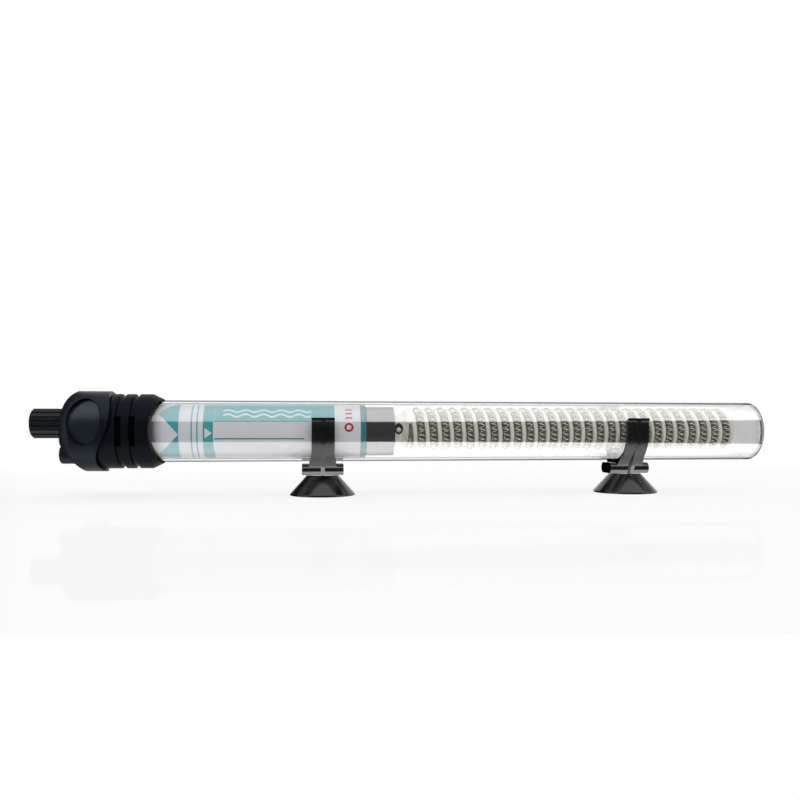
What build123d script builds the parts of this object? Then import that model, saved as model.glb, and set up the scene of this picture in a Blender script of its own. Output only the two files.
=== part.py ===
"""Submersible aquarium heater: a glass tube with a control head, standing on two suction-cup clips.

Millimetres. X runs along the tube, from the control head (-X) to the closed glass end (+X), Y is depth
and Z is up. The origin lies on the surface that the cups stand on, midway along the heater.
"""
import os
from math import asin, cos, degrees, pi, radians, sin, sqrt

from build123d import *

# ---- Driving dimensions -------------------------------------------------------------------------

# Glass tube
tube_diameter = 25.0
tube_wall = 1.0
tube_length = 270.4
tube_open_x = -119.0
tube_end_wall = 1.6
tube_end_radius = 1.4

# Clearances
running_gap = 0.05          # a shaft in its bore, a clip on the tube, a stud in its socket
face_gap = 0.1              # between flat faces that turn past each other
wire_gap = 0.1              # a wire in its hole

# Control head
skirt_wall = 1.05
skirt_gap = 0.05            # between the skirt and the collar under it
head_nose_x = -139.8
head_nose_radius = 8.4
head_shoulder = 5.6         # length of the rounded shoulder
head_wall = 7.3             # solid nose between the outside and the wiring space
head_cavity_radius = 10.4
skirt_depth_x = -127.0      # where the skirt's recess for the collar starts
seam_x = -120.5             # furthest reach of the skirt's wavy edge
corner_height = 10.8        # the flat cut across the nose's lower corner
corner_length = 7.8
corner_start = 1.0
scoop_half_length = 6.2
scoop_half_height = 9.1
scoop_depth = 1.8
scoop_x = -129.1
scoop_rise = 3.7

# Knob, spindle and setting screw
knob_diameter = 11.9
knob_length = 12.2
knob_flutes = 16
flute_radius = 0.62
knob_rise = 3.1             # the knob's axis above the tube's
spindle_diameter = 4.0
spindle_seat = 8.0          # length of spindle held in the knob
spindle_flange_radius = 3.4
screw_diameter = 3.0
seal_section = 1.8          # thickness of the O-ring

# Cord gland
gland_diameter = 7.6
gland_bore = 5.2
gland_edge = 6.85           # from the cord's axis to the head's lowest side
gland_reach = 1.7           # how far its end stands out from the head's nose

# Rubber collar
collar_wall = 2.5           # rubber between the tube and the collar's outside
collar_lip_x = -105.5
collar_lip_sweep = 23.0     # radius of the scallop in the lip
collar_lip_wall = 0.4       # rubber left at the lip's edge
grooves = 2
groove_pitch = 5.3
groove_width = 3.0
groove_depth = 1.0
groove_slope = 72.0         # angle of the grooves' sides
groove_first_x = -116.5
relief_width = 1.0          # open groove in the rubber along the skirt's edge
relief_depth = 0.9
slot_height = 11.6
slot_width = 2.4
slot_depth = 1.1

# Sealing plug
plug_flange = 1.2
plug_length = 8.0

# Thermostat, carried inside the label sleeve
sleeve_x = -108.1
sleeve_length = 88.0
sleeve_gap = 0.6            # between the sleeve and the glass
sleeve_wall = 0.3
bulkhead = 2.0
deck_top = -3.0             # top of the deck, measured from the tube's axis
deck_thickness = 2.0
bush_wall_x = -101.0
bush_radius = 3.0
bush_length = 3.0
nut_x = -94.5
nut_length = 5.0
nut_width = 6.0
wedge_length = 6.0
leaf_thickness = 0.4
leaf_width = 5.0
leaf_x = -88.2
leaf_post_x = -64.0
leaf_post_length = 6.0
leaf_height = 0.9           # underside of the contact leaf, measured from the tube's axis
contact_radius = 1.6
contact_height = 1.0
contact_x = -78.0
bimetal_thickness = 0.6
bimetal_width = 6.0
bimetal_x = -81.0
bimetal_post_x = -40.0
bimetal_post_length = 8.0
contact_stack = 2.3         # both contacts together, between leaf and bimetal
magnet_size = 5.0
magnet_x = -75.0
capacitor_length = 9.0
capacitor_width = 6.0
capacitor_height = 5.0
capacitor_x = -54.0
lamp_radius = 2.2
lamp_length = 9.0
lamp_x = -82.0
resistor_radius = 1.2
resistor_length = 6.5
resistor_x = -68.0
side_offset = 5.8           # lamp and resistor beside the contacts
lead_radius = 0.75
lead_drop = 7.4             # the cord's cores run below the deck
lead_spread = 4.0

# Heat shield and heating element
shield_length = 11.9
shield_gap = 0.5            # between the shield and the sleeve that it starts in
shield_wall = 0.5
disc_thickness = 1.2
element_rise = 1.0          # the former's axis above the tube's
former_end_radius = 6.4     # plain round shank at the near end
former_end_length = 3.4
former_cone = 1.8           # length of the cone from the shank up to the ridges
former_bore = 2.6           # radius
ridge_radius = 8.3
groove_clearance = 0.45     # round the coil in its groove
coil_pitch = 5.12
coil_first_angle = 120      # degrees from the top, towards the front
coil_turns = 27 + 5 / 12
coil_thickness = 2.6
coil_radius = 9.1           # outside of the winding
coil_start = 6.1            # from the former's near face to the first turn
sides_per_turn = 12
eyelet_half_width = 1.65
eyelet_half_height = 2.3
eyelet_bore = 1.05          # radius
eyelet_wall = 0.2           # of the barrel in the former
eyelet_drop = 0.5           # bore below the middle of the flange
eyelet_flange = 0.7
core_wire_radius = 0.6
far_end_gap = 1.5           # from the former's far face to the wire that turns round it

# Clips and suction cups
clip_positions = {"left": -37.5, "right": 93.7}
band_wall = 1.65
band_width = 9.2
band_opening_rise = 4.8     # height of the arm tips above the tube's axis
arm_lip = 1.4
rib_thickness = 1.5
rib_height = 1.2
saddle_width = 11.5
foot_length = 17.0
foot_depth = 11.0
foot_height = 4.6
foot_sink = 0.7             # how far the band sits in the foot
stud_neck_radius = 2.2
stud_head_radius = 3.0
stud_neck = 1.2
stud_head = 2.0
cup_height = 8.4
cup_top_radius = 6.5
cup_rim_radius = 13.5
cup_edge = 0.7              # thickness of the rim
cup_land = 1.1
cup_hollow = 4.6

# ---- Derived places -----------------------------------------------------------------------------

tube_radius = tube_diameter / 2
collar_radius = tube_radius + collar_wall
head_radius = collar_radius + skirt_gap + skirt_wall
gland_drop = head_radius - gland_edge
tube_bore = tube_radius - tube_wall
band_inner = tube_radius + running_gap
band_outer = band_inner + band_wall
foot_bottom = band_outer + foot_height - foot_sink
axis_z = foot_bottom + cup_height
knob_z = axis_z + knob_rise
element_z = axis_z + element_rise
deck_z = axis_z + deck_top
cavity_x = head_nose_x + head_wall
plug_x = tube_open_x - plug_flange
sleeve_radius = tube_bore - sleeve_gap
sleeve_bore = sleeve_radius - sleeve_wall
sleeve_end_x = sleeve_x + sleeve_length
shield_radius = sleeve_bore - shield_gap
shield_bore = shield_radius - shield_wall
shield_end_x = sleeve_end_x + shield_length
spindle_radius = spindle_diameter / 2
screw_radius = screw_diameter / 2
knob_face_x = head_nose_x - face_gap
knob_end_x = knob_face_x - knob_length
seal_ring_radius = spindle_radius + running_gap + seal_section / 2
seal_bore = seal_ring_radius + seal_section / 2
bimetal_height = leaf_height + leaf_thickness + contact_stack
coil_x = shield_end_x + coil_start
coil_centre_radius = coil_radius - coil_thickness / 2
coil_end_x = coil_x + coil_turns * coil_pitch
former_end_x = coil_end_x + coil_thickness / 2
groove_radius = coil_thickness / 2 + groove_clearance
former_shank_end_x = shield_end_x + former_end_length
ridges_start_x = former_shank_end_x + former_cone


def across(x):
    """Plane square to the tube, on its axis."""
    return Plane(origin=(x, 0, axis_z), x_dir=(0, 1, 0), z_dir=(1, 0, 0))


def lengthwise():
    """Plane through the tube's axis: local x along the tube, local y upwards."""
    return Plane(origin=(0, 0, axis_z), x_dir=(1, 0, 0), z_dir=(0, -1, 0))


def around_knob():
    """Lengthwise plane through the knob's axis."""
    return Plane(origin=(0, 0, knob_z), x_dir=(1, 0, 0), z_dir=(0, -1, 0))


def turned(x, radius, first_angle, turns):
    """Corner points of a winding round the former, right-handed along +X."""
    steps = round(turns * sides_per_turn)
    points = []
    for step in range(steps + 1):
        angle = radians(first_angle) + 2 * pi * step / sides_per_turn
        along = x + coil_pitch * step / sides_per_turn
        points.append((along, -radius * sin(angle), element_z + radius * cos(angle)))
    return points


def winding_start(points):
    """Plane at the first corner of a winding, with local x pointing away from the former's axis."""
    first = Vector(*points[0])
    heading = Vector(*points[1]) - first
    return Plane(origin=first, x_dir=(0, first.Y, first.Z - element_z), z_dir=heading)


def seam_points(beyond):
    """Points of the skirt's wavy edge, moved along the tube by beyond."""
    shape = ((-1.8, 0.5), (0, -0.22 * head_radius), (-0.3, -head_radius), (-2.1, -1.25 * head_radius),
             (-4.6, -1.84 * head_radius), (-2.4, -2 * head_radius - 0.5))
    return [(seam_x + beyond + along, head_radius + rise) for along, rise in shape]


def finish(piece, name):
    """Label a finished piece and write its file."""
    piece.part.label = name
    export_step(piece.part, f"parts/{name}.step")
    print(f"{name}: {len(piece.part.solids())} solid, {piece.part.volume:.1f} mm3")


os.makedirs("parts", exist_ok=True)

# ---- Glass tube ---------------------------------------------------------------------------------

with BuildPart() as glass_tube:
    with BuildSketch(across(tube_open_x)):
        Circle(tube_radius)
    extrude(amount=tube_length)
    closed_rim = glass_tube.edges().filter_by(GeomType.CIRCLE).sort_by(Axis.X)[-1]
    fillet(closed_rim, tube_end_radius)
    with BuildSketch(across(tube_open_x)):
        Circle(tube_bore)
    extrude(amount=tube_length - tube_end_wall, mode=Mode.SUBTRACT)
    inner_rim = glass_tube.edges().filter_by(GeomType.CIRCLE).filter_by(
        lambda edge: abs(edge.radius - tube_bore) < 1e-6).sort_by(Axis.X)[-1]
    fillet(inner_rim, tube_end_radius / 2)
finish(glass_tube, "glass_tube")

# ---- Control head -------------------------------------------------------------------------------

# Thumb scoops: an oval prism, less a cone about the tube's axis, so they fade out towards the tube.
with BuildPart() as scoops:
    with BuildSketch(Plane(origin=(scoop_x, 0, axis_z + scoop_rise), x_dir=(1, 0, 0), z_dir=(0, -1, 0))):
        Ellipse(scoop_half_length, scoop_half_height)
    extrude(amount=head_radius + 1, both=True)
    with BuildSketch(lengthwise()):
        with BuildLine():
            Polyline(
                (scoop_x - scoop_half_length - 1, 0),
                (scoop_x - scoop_half_length - 1, head_radius - scoop_depth),
                (scoop_x + scoop_half_length + 1, head_radius),
                (scoop_x + scoop_half_length + 1, 0),
                close=True,
            )
        make_face()
    revolve(axis=Axis((0, 0, axis_z), (1, 0, 0)), mode=Mode.SUBTRACT)

with BuildPart() as head_shell:
    # Turned outside: flat nose, rounded shoulder, straight grip.
    with BuildSketch(lengthwise()):
        with BuildLine():
            Line((head_nose_x, 0), (head_nose_x, head_nose_radius))
            ThreePointArc(
                (head_nose_x, head_nose_radius),
                (head_nose_x + 0.3 * head_shoulder, 0.4 * head_nose_radius + 0.6 * head_radius),
                (head_nose_x + head_shoulder, head_radius),
            )
            Line((head_nose_x + head_shoulder, head_radius), (seam_x + 3, head_radius))
            Line((seam_x + 3, head_radius), (seam_x + 3, 0))
            Line((seam_x + 3, 0), (head_nose_x, 0))
        make_face()
    revolve(axis=Axis((0, 0, axis_z), (1, 0, 0)))
    # The lower corner of the nose is cut off flat, where the cord comes out.
    with BuildSketch(lengthwise()):
        with BuildLine():
            Polyline(
                (head_nose_x - 1, -head_radius + corner_height),
                (head_nose_x + corner_start, -head_radius + corner_height),
                (head_nose_x + corner_start + corner_length, -head_radius),
                (head_nose_x + corner_start + corner_length, -head_radius - 2),
                (head_nose_x - 1, -head_radius - 2),
                close=True,
            )
        make_face()
    extrude(amount=head_radius + 1, both=True, mode=Mode.SUBTRACT)
    # Wavy edge of the skirt.
    with BuildSketch(lengthwise()):
        with BuildLine():
            Spline(*seam_points(0))
            Polyline(
                seam_points(0)[-1],
                (seam_x + 4, -head_radius - 0.5),
                (seam_x + 4, head_radius + 0.5),
                seam_points(0)[0],
            )
        make_face()
    extrude(amount=head_radius + 1, both=True, mode=Mode.SUBTRACT)
    # Recess for the collar, then the spigot that the collar grips.
    with BuildSketch(across(skirt_depth_x)):
        Circle(head_radius - skirt_wall)
    extrude(amount=seam_x + 4 - skirt_depth_x, mode=Mode.SUBTRACT)
    with BuildSketch(across(skirt_depth_x)):
        Circle(tube_radius)
    extrude(amount=plug_x - skirt_depth_x)
    with BuildSketch(across(cavity_x)):
        Circle(head_cavity_radius)
    extrude(amount=plug_x - cavity_x, mode=Mode.SUBTRACT)
    add(scoops.part, mode=Mode.SUBTRACT)
    # Spindle bore, with a counterbore from inside for the seal, and the hole for the cord gland.
    with BuildSketch(across(head_nose_x - 1)):
        with Locations((0, knob_rise)):
            Circle(spindle_radius + running_gap)
    extrude(amount=head_wall + 2, mode=Mode.SUBTRACT)
    with BuildSketch(across(head_nose_x + head_wall / 3)):
        with Locations((0, knob_rise)):
            Circle(seal_bore)
    extrude(amount=head_wall, mode=Mode.SUBTRACT)
    with BuildSketch(across(head_nose_x - 1)):
        with Locations((0, -gland_drop)):
            Circle(gland_diameter / 2)
    extrude(amount=head_wall + 2, mode=Mode.SUBTRACT)
finish(head_shell, "head_shell")

with BuildPart() as cord_gland:
    with BuildSketch(across(head_nose_x - gland_reach)):
        with Locations((0, -gland_drop)):
            Circle(gland_diameter / 2)
            Circle(gland_bore / 2, mode=Mode.SUBTRACT)
    extrude(amount=head_wall + gland_reach)
    mouth_edges = cord_gland.edges().filter_by(GeomType.CIRCLE).group_by(Axis.X)[0]
    outer_mouth = mouth_edges.sort_by(SortBy.RADIUS)[-1]
    chamfer(outer_mouth, 0.5 * (gland_diameter - gland_bore) / 2)
finish(cord_gland, "cord_gland")

# ---- Knob and spindle ---------------------------------------------------------------------------

with BuildPart() as adjusting_knob:
    with BuildSketch(across(knob_end_x)):
        with Locations((0, knob_rise)):
            Circle(knob_diameter / 2)
            with PolarLocations(knob_diameter / 2 + 0.2 * flute_radius, knob_flutes):
                Circle(flute_radius, mode=Mode.SUBTRACT)
    extrude(amount=knob_length)
    # Chamfered end and a shallow dished face.
    with BuildSketch(around_knob()):
        with BuildLine():
            Polyline(
                (knob_end_x - 1, knob_diameter / 2 - 0.6),
                (knob_end_x, knob_diameter / 2 - 0.6),
                (knob_end_x + 0.8, knob_diameter / 2 + 0.2),
                (knob_end_x - 1, knob_diameter / 2 + 0.2),
                close=True,
            )
        make_face()
    revolve(axis=Axis((0, 0, knob_z), (1, 0, 0)), mode=Mode.SUBTRACT)
    with BuildSketch(across(knob_face_x - spindle_seat)):
        with Locations((0, knob_rise)):
            Circle(spindle_radius)
    extrude(amount=spindle_seat, mode=Mode.SUBTRACT)
finish(adjusting_knob, "adjusting_knob")

# Spindle: seat in the knob, flange behind the seal, journal in the bush, then the setting screw.
flange_x = head_nose_x + head_wall / 3 + seal_section + 2 * face_gap
journal_end_x = bush_wall_x + bush_length + 1
screw_end_x = nut_x + nut_length + 1.5
with BuildPart() as knob_spindle:
    with BuildSketch(around_knob()):
        with BuildLine():
            Polyline(
                (knob_face_x - spindle_seat, 0),
                (knob_face_x - spindle_seat, spindle_radius),
                (flange_x, spindle_radius),
                (flange_x, spindle_flange_radius),
                (flange_x + 1.2, spindle_flange_radius),
                (flange_x + 1.2, spindle_radius),
                (journal_end_x, spindle_radius),
                (journal_end_x, screw_radius),
                (screw_end_x, screw_radius),
                (screw_end_x, 0),
                close=True,
            )
        make_face()
    revolve(axis=Axis((0, 0, knob_z), (1, 0, 0)))
finish(knob_spindle, "knob_spindle")

with BuildPart() as spindle_o_ring:
    with BuildSketch(around_knob()):
        with Locations((head_nose_x + head_wall / 3 + seal_section / 2, seal_ring_radius)):
            RegularPolygon(seal_section / 2, 8, major_radius=False, rotation=22.5)
    revolve(axis=Axis((0, 0, knob_z), (1, 0, 0)))
finish(spindle_o_ring, "spindle_o_ring")

# ---- Rubber collar and sealing plug -------------------------------------------------------------

# Windows that go deeper than the grooves, front and back: flat prisms, less the collar's own core.
with BuildPart() as windows:
    with BuildSketch(lengthwise()):
        for groove in range(grooves):
            with Locations((groove_first_x + groove * groove_pitch, 0)):
                Rectangle(slot_width, slot_height)
    extrude(amount=collar_radius + 1, both=True)
    with BuildSketch(across(skirt_depth_x)):
        Circle(collar_radius - groove_depth - slot_depth)
    extrude(amount=collar_lip_x - skirt_depth_x, mode=Mode.SUBTRACT)

# Open groove that follows the skirt's edge.
with BuildPart() as relief:
    with BuildSketch(lengthwise()):
        with BuildLine():
            Spline(*seam_points(0))
            Line(seam_points(0)[-1], seam_points(relief_width)[-1])
            Spline(*seam_points(relief_width)[::-1])
            Line(seam_points(relief_width)[0], seam_points(0)[0])
        make_face()
    extrude(amount=head_radius, both=True)
    with BuildSketch(across(skirt_depth_x)):
        Circle(collar_radius - relief_depth)
    extrude(amount=collar_lip_x - skirt_depth_x, mode=Mode.SUBTRACT)

with BuildPart() as rubber_collar:
    lip_end_x = collar_lip_x + collar_lip_sweep - sqrt(collar_lip_sweep ** 2 - tube_radius ** 2)
    with BuildSketch(lengthwise()):
        with BuildLine():
            Polyline(
                (skirt_depth_x, tube_radius),
                (skirt_depth_x, collar_radius),
                (collar_lip_x, collar_radius),
                (lip_end_x + 0.5, tube_radius + collar_lip_wall),
                (lip_end_x + 0.5, tube_radius),
                close=True,
            )
        make_face()
        for groove in range(grooves):
            with Locations((groove_first_x + groove * groove_pitch, collar_radius)):
                Trapezoid(groove_width, 2 * groove_depth, groove_slope, rotation=180, mode=Mode.SUBTRACT)
    revolve(axis=Axis((0, 0, axis_z), (1, 0, 0)))
    # Scalloped lip, reaching further along the top and the bottom of the tube than along its sides.
    with BuildSketch(lengthwise()):
        with Locations((collar_lip_x + collar_lip_sweep, 0)):
            Circle(collar_lip_sweep)
    extrude(amount=collar_radius + 1, both=True, mode=Mode.SUBTRACT)
    add(windows.part, mode=Mode.SUBTRACT)
    add(relief.part, mode=Mode.SUBTRACT)
finish(rubber_collar, "rubber_collar")

with BuildPart() as sealing_plug:
    with BuildSketch(across(plug_x)):
        Circle(tube_radius)
    extrude(amount=plug_flange)
    with BuildSketch(across(tube_open_x)):
        Circle(tube_bore)
    extrude(amount=plug_length)
    with BuildSketch(across(plug_x)):
        with Locations((0, knob_rise)):
            Circle(spindle_radius + 3 * running_gap)
        with Locations((-lead_spread, -lead_drop), (lead_spread, -lead_drop)):
            Circle(lead_radius)
    extrude(amount=plug_flange + plug_length, mode=Mode.SUBTRACT)
finish(sealing_plug, "sealing_plug")

# ---- Thermostat ---------------------------------------------------------------------------------

with BuildPart() as label_sleeve:
    with BuildSketch(across(sleeve_x)):
        Circle(sleeve_radius)
        Circle(sleeve_bore, mode=Mode.SUBTRACT)
    extrude(amount=sleeve_length)
finish(label_sleeve, "label_sleeve")

deck_half_width = sqrt(sleeve_bore ** 2 - (deck_top - deck_thickness) ** 2)
post_x = bush_wall_x + bush_length / 2

with BuildPart() as thermostat_frame:
    # Round bulkheads at both ends of the sleeve, the second with a collar for the heat shield.
    with BuildSketch(across(sleeve_x)):
        Circle(sleeve_bore)
    extrude(amount=bulkhead)
    with BuildSketch(across(sleeve_end_x - bulkhead)):
        Circle(sleeve_bore)
    extrude(amount=bulkhead)
    with BuildSketch(across(sleeve_end_x)):
        Circle(shield_bore)
    extrude(amount=bulkhead)
    # Tongue that stands against the sealing plug.
    with BuildSketch(across(tube_open_x + plug_length)):
        with Locations((0, deck_top - deck_thickness / 2)):
            Rectangle(1.2 * deck_half_width, deck_thickness)
    extrude(amount=sleeve_x - tube_open_x - plug_length)
    # Deck between the bulkheads.
    with BuildSketch(across(sleeve_x + bulkhead)):
        with Locations((0, deck_top - deck_thickness / 2)):
            Rectangle(2 * deck_half_width, deck_thickness)
    extrude(amount=sleeve_length - 2 * bulkhead)
    # Wall for the spindle's bush, and the posts of the contact leaf and the bimetal.
    with BuildSketch(Plane(origin=(post_x, 0, deck_z), x_dir=(1, 0, 0), z_dir=(0, 0, 1))):
        Rectangle(bush_length, 2.4 * bush_radius)
    extrude(amount=knob_rise - deck_top + 1.3 * bush_radius)
    with BuildSketch(Plane.XY.offset(deck_z)):
        with Locations((leaf_post_x + leaf_post_length / 2, 0)):
            Rectangle(leaf_post_length, leaf_width + 1)
    extrude(amount=leaf_height - deck_top)
    with BuildSketch(Plane.XY.offset(deck_z)):
        with Locations((bimetal_post_x + bimetal_post_length / 2, 0)):
            Rectangle(bimetal_post_length, bimetal_width + 1.5)
    extrude(amount=bimetal_height - deck_top)
    # Bores: spindle through the first bulkhead, bush seat, wires through both bulkheads.
    with BuildSketch(across(sleeve_x)):
        with Locations((0, knob_rise)):
            Circle(spindle_radius + 3 * running_gap)
        with Locations((-lead_spread, -lead_drop), (lead_spread, -lead_drop)):
            Circle(lead_radius + wire_gap)
    extrude(amount=bulkhead, mode=Mode.SUBTRACT)
    with BuildSketch(across(bush_wall_x)):
        with Locations((0, knob_rise)):
            Circle(bush_radius)
    extrude(amount=bush_length, mode=Mode.SUBTRACT)
    with BuildSketch(across(sleeve_end_x - bulkhead)):
        with Locations((lead_spread, -lead_drop)):
            Circle(lead_radius + wire_gap)
        with Locations((-former_end_radius + core_wire_radius, element_rise)):
            Circle(core_wire_radius + wire_gap)
    extrude(amount=2 * bulkhead, mode=Mode.SUBTRACT)
finish(thermostat_frame, "thermostat_frame")

with BuildPart() as spindle_bush:
    with BuildSketch(across(bush_wall_x)):
        with Locations((0, knob_rise)):
            Circle(bush_radius)
            Circle(spindle_radius + running_gap, mode=Mode.SUBTRACT)
    extrude(amount=bush_length)
finish(spindle_bush, "spindle_bush")

# Nut that the screw drives along the deck; its wedge lifts or lowers the contact leaf.
with BuildPart() as setting_nut:
    wedge_top = leaf_height - 0.3
    with BuildSketch(lengthwise()):
        with BuildLine():
            Polyline(
                (nut_x, deck_top + face_gap),
                (nut_x, knob_rise + nut_width / 2),
                (nut_x + nut_length, knob_rise + nut_width / 2),
                (nut_x + nut_length, wedge_top),
                (nut_x + nut_length + wedge_length, wedge_top - 0.36 * wedge_length),
                (nut_x + nut_length + wedge_length, deck_top + face_gap),
                close=True,
            )
        make_face()
    extrude(amount=nut_width / 2, both=True)
    with BuildSketch(across(nut_x)):
        with Locations((0, knob_rise)):
            Circle(screw_radius + running_gap)
    extrude(amount=nut_length, mode=Mode.SUBTRACT)
finish(setting_nut, "setting_nut")

with BuildPart() as contact_leaf:
    with BuildSketch(Plane.XY.offset(axis_z + leaf_height)):
        with Locations(((leaf_x + leaf_post_x + leaf_post_length) / 2, 0)):
            RectangleRounded(leaf_post_x + leaf_post_length - leaf_x, leaf_width, 0.2 * leaf_width)
    extrude(amount=leaf_thickness)
finish(contact_leaf, "contact_leaf")

with BuildPart() as bimetal_strip:
    with BuildSketch(Plane.XY.offset(axis_z + bimetal_height)):
        with Locations(((bimetal_x + bimetal_post_x + bimetal_post_length) / 2, 0)):
            RectangleRounded(bimetal_post_x + bimetal_post_length - bimetal_x, bimetal_width,
                             0.2 * bimetal_width)
    extrude(amount=bimetal_thickness)
finish(bimetal_strip, "bimetal_strip")

with BuildPart() as fixed_contact:
    with BuildSketch(Plane.XY.offset(axis_z + leaf_height + leaf_thickness)):
        with Locations((contact_x, 0)):
            Circle(contact_radius)
    extrude(amount=contact_height)
finish(fixed_contact, "fixed_contact")

with BuildPart() as moving_contact:
    with BuildSketch(Plane.XY.offset(axis_z + leaf_height + leaf_thickness + contact_height)):
        with Locations((contact_x, 0)):
            Circle(contact_radius)
    extrude(amount=contact_stack - contact_height)
finish(moving_contact, "moving_contact")

with BuildPart() as contact_magnet:
    with BuildSketch(Plane.XY.offset(deck_z)):
        with Locations((magnet_x + magnet_size / 2, 0)):
            Rectangle(magnet_size, magnet_size)
    extrude(amount=leaf_height - deck_top - 0.6)
    chamfer(contact_magnet.faces().sort_by(Axis.Z)[-1].edges(), 0.4)
finish(contact_magnet, "contact_magnet")

with BuildPart() as suppression_capacitor:
    with BuildSketch(Plane.XY.offset(deck_z)):
        with Locations((capacitor_x + capacitor_length / 2, 0)):
            Rectangle(capacitor_length, capacitor_width)
    extrude(amount=capacitor_height)
    fillet(suppression_capacitor.edges().filter_by(Axis.Z), 0.15 * capacitor_width)
finish(suppression_capacitor, "suppression_capacitor")

with BuildPart() as neon_lamp:
    with BuildSketch(Plane(origin=(lamp_x, -side_offset, deck_z + lamp_radius), x_dir=(0, 1, 0),
                           z_dir=(1, 0, 0))):
        Circle(lamp_radius)
    extrude(amount=lamp_length)
    chamfer(neon_lamp.edges().filter_by(GeomType.CIRCLE).sort_by(Axis.X)[-1], 0.5 * lamp_radius)
finish(neon_lamp, "neon_lamp")

with BuildPart() as neon_resistor:
    with BuildSketch(Plane(origin=(resistor_x, -side_offset, deck_z + resistor_radius), x_dir=(0, 1, 0),
                           z_dir=(1, 0, 0))):
        Circle(resistor_radius)
    extrude(amount=resistor_length)
    chamfer(neon_resistor.edges().filter_by(GeomType.CIRCLE), 0.3 * resistor_radius)
finish(neon_resistor, "neon_resistor")

# ---- Heat shield and heating element ------------------------------------------------------------

with BuildPart() as heat_shield:
    with BuildSketch(across(sleeve_end_x)):
        Circle(shield_radius)
        Circle(shield_bore, mode=Mode.SUBTRACT)
    extrude(amount=shield_length)
finish(heat_shield, "heat_shield")

# Ceramic disc in the shield's end, with a hollow stub that carries the former.
stub_length = 0.5 * shield_length
with BuildPart() as shield_disc:
    with BuildSketch(across(shield_end_x - disc_thickness)):
        Circle(shield_bore)
    extrude(amount=disc_thickness)
    with BuildSketch(across(shield_end_x)):
        with Locations((0, element_rise)):
            Circle(former_bore)
    extrude(amount=stub_length)
    with BuildSketch(across(shield_end_x - disc_thickness)):
        with Locations((0, element_rise)):
            Circle(core_wire_radius)
        with Locations((-former_end_radius + core_wire_radius, element_rise)):
            Circle(core_wire_radius)
    extrude(amount=disc_thickness + stub_length, mode=Mode.SUBTRACT)
finish(shield_disc, "shield_disc")

# Plane of the eyelet's flange, on the front of the former's shank.
eyelet_face = Plane(origin=(shield_end_x + eyelet_half_width + face_gap, -former_end_radius, element_z),
                    x_dir=(1, 0, 0), z_dir=(0, -1, 0))
eyelet_depth = (former_end_radius - former_bore) / 2

# Former: a twelve-sided bar with a round-bottomed groove wound into it, which the coil lies in.
winding_points = turned(coil_x, coil_centre_radius, coil_first_angle, coil_turns)
with BuildPart() as ceramic_former:
    # Turned near end: a plain shank and a cone up to the ridges.
    with BuildSketch(Plane(origin=(0, 0, element_z), x_dir=(1, 0, 0), z_dir=(0, -1, 0))):
        with BuildLine():
            Polyline(
                (shield_end_x, 0),
                (shield_end_x, former_end_radius),
                (former_shank_end_x, former_end_radius),
                (ridges_start_x, ridge_radius * cos(pi / sides_per_turn)),
                (ridges_start_x, 0),
                close=True,
            )
        make_face()
    revolve(axis=Axis((0, 0, element_z), (1, 0, 0)))
    with BuildSketch(across(ridges_start_x)):
        with Locations((0, element_rise)):
            RegularPolygon(ridge_radius, sides_per_turn)
    extrude(amount=former_end_x - ridges_start_x)
    with BuildLine() as groove_path:
        Polyline(*winding_points)
    with BuildSketch(winding_start(winding_points)):
        RegularPolygon(groove_radius, 6)
    sweep(path=groove_path.line, transition=Transition.RIGHT, mode=Mode.SUBTRACT)
    with BuildSketch(across(shield_end_x)):
        with Locations((0, element_rise)):
            Circle(former_bore)
    extrude(amount=former_end_x - shield_end_x, mode=Mode.SUBTRACT)
    # Seat for the eyelet's barrel, in the front of the shank.
    with BuildSketch(eyelet_face):
        with Locations((0, -eyelet_drop)):
            Circle(eyelet_bore + eyelet_wall)
    extrude(amount=-eyelet_depth, mode=Mode.SUBTRACT)
finish(ceramic_former, "ceramic_former")

with BuildPart() as heating_coil:
    with BuildLine() as coil_path:
        Polyline(*winding_points)
    with BuildSketch(winding_start(winding_points)):
        RegularPolygon(coil_thickness / 2, 6)
    sweep(path=coil_path.line, transition=Transition.RIGHT)
finish(heating_coil, "heating_coil")

with BuildPart() as terminal_eyelet:
    with BuildSketch(eyelet_face):
        Ellipse(eyelet_half_width, eyelet_half_height)
    extrude(amount=eyelet_flange)
    with BuildSketch(eyelet_face):
        with Locations((0, -eyelet_drop)):
            Circle(eyelet_bore + eyelet_wall)
    extrude(amount=-eyelet_depth)
    with BuildSketch(eyelet_face.offset(eyelet_flange)):
        with Locations((0, -eyelet_drop)):
            Circle(eyelet_bore)
    extrude(amount=-eyelet_flange - eyelet_depth, mode=Mode.SUBTRACT)
finish(terminal_eyelet, "terminal_eyelet")

# ---- Wires --------------------------------------------------------------------------------------

lead_start_x = cavity_x + 1
with BuildPart() as lead_live:
    with BuildSketch(across(lead_start_x)):
        with Locations((-lead_spread, -lead_drop)):
            Circle(lead_radius)
    extrude(amount=bush_wall_x - lead_start_x)
finish(lead_live, "lead_live")

crimp_x = sleeve_end_x + bulkhead + 1.5
crimp_end_x = shield_end_x - disc_thickness - 0.5
with BuildPart() as lead_neutral:
    with BuildLine() as neutral_path:
        Polyline(
            (lead_start_x, lead_spread, axis_z - lead_drop),
            (crimp_x, lead_spread, axis_z - lead_drop),
            (crimp_end_x - 2, 0, element_z),
            (crimp_end_x, 0, element_z),
        )
    with BuildSketch(across(lead_start_x)):
        with Locations((lead_spread, -lead_drop)):
            Circle(lead_radius)
    sweep(path=neutral_path.line, transition=Transition.RIGHT)
finish(lead_neutral, "lead_neutral")

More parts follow.
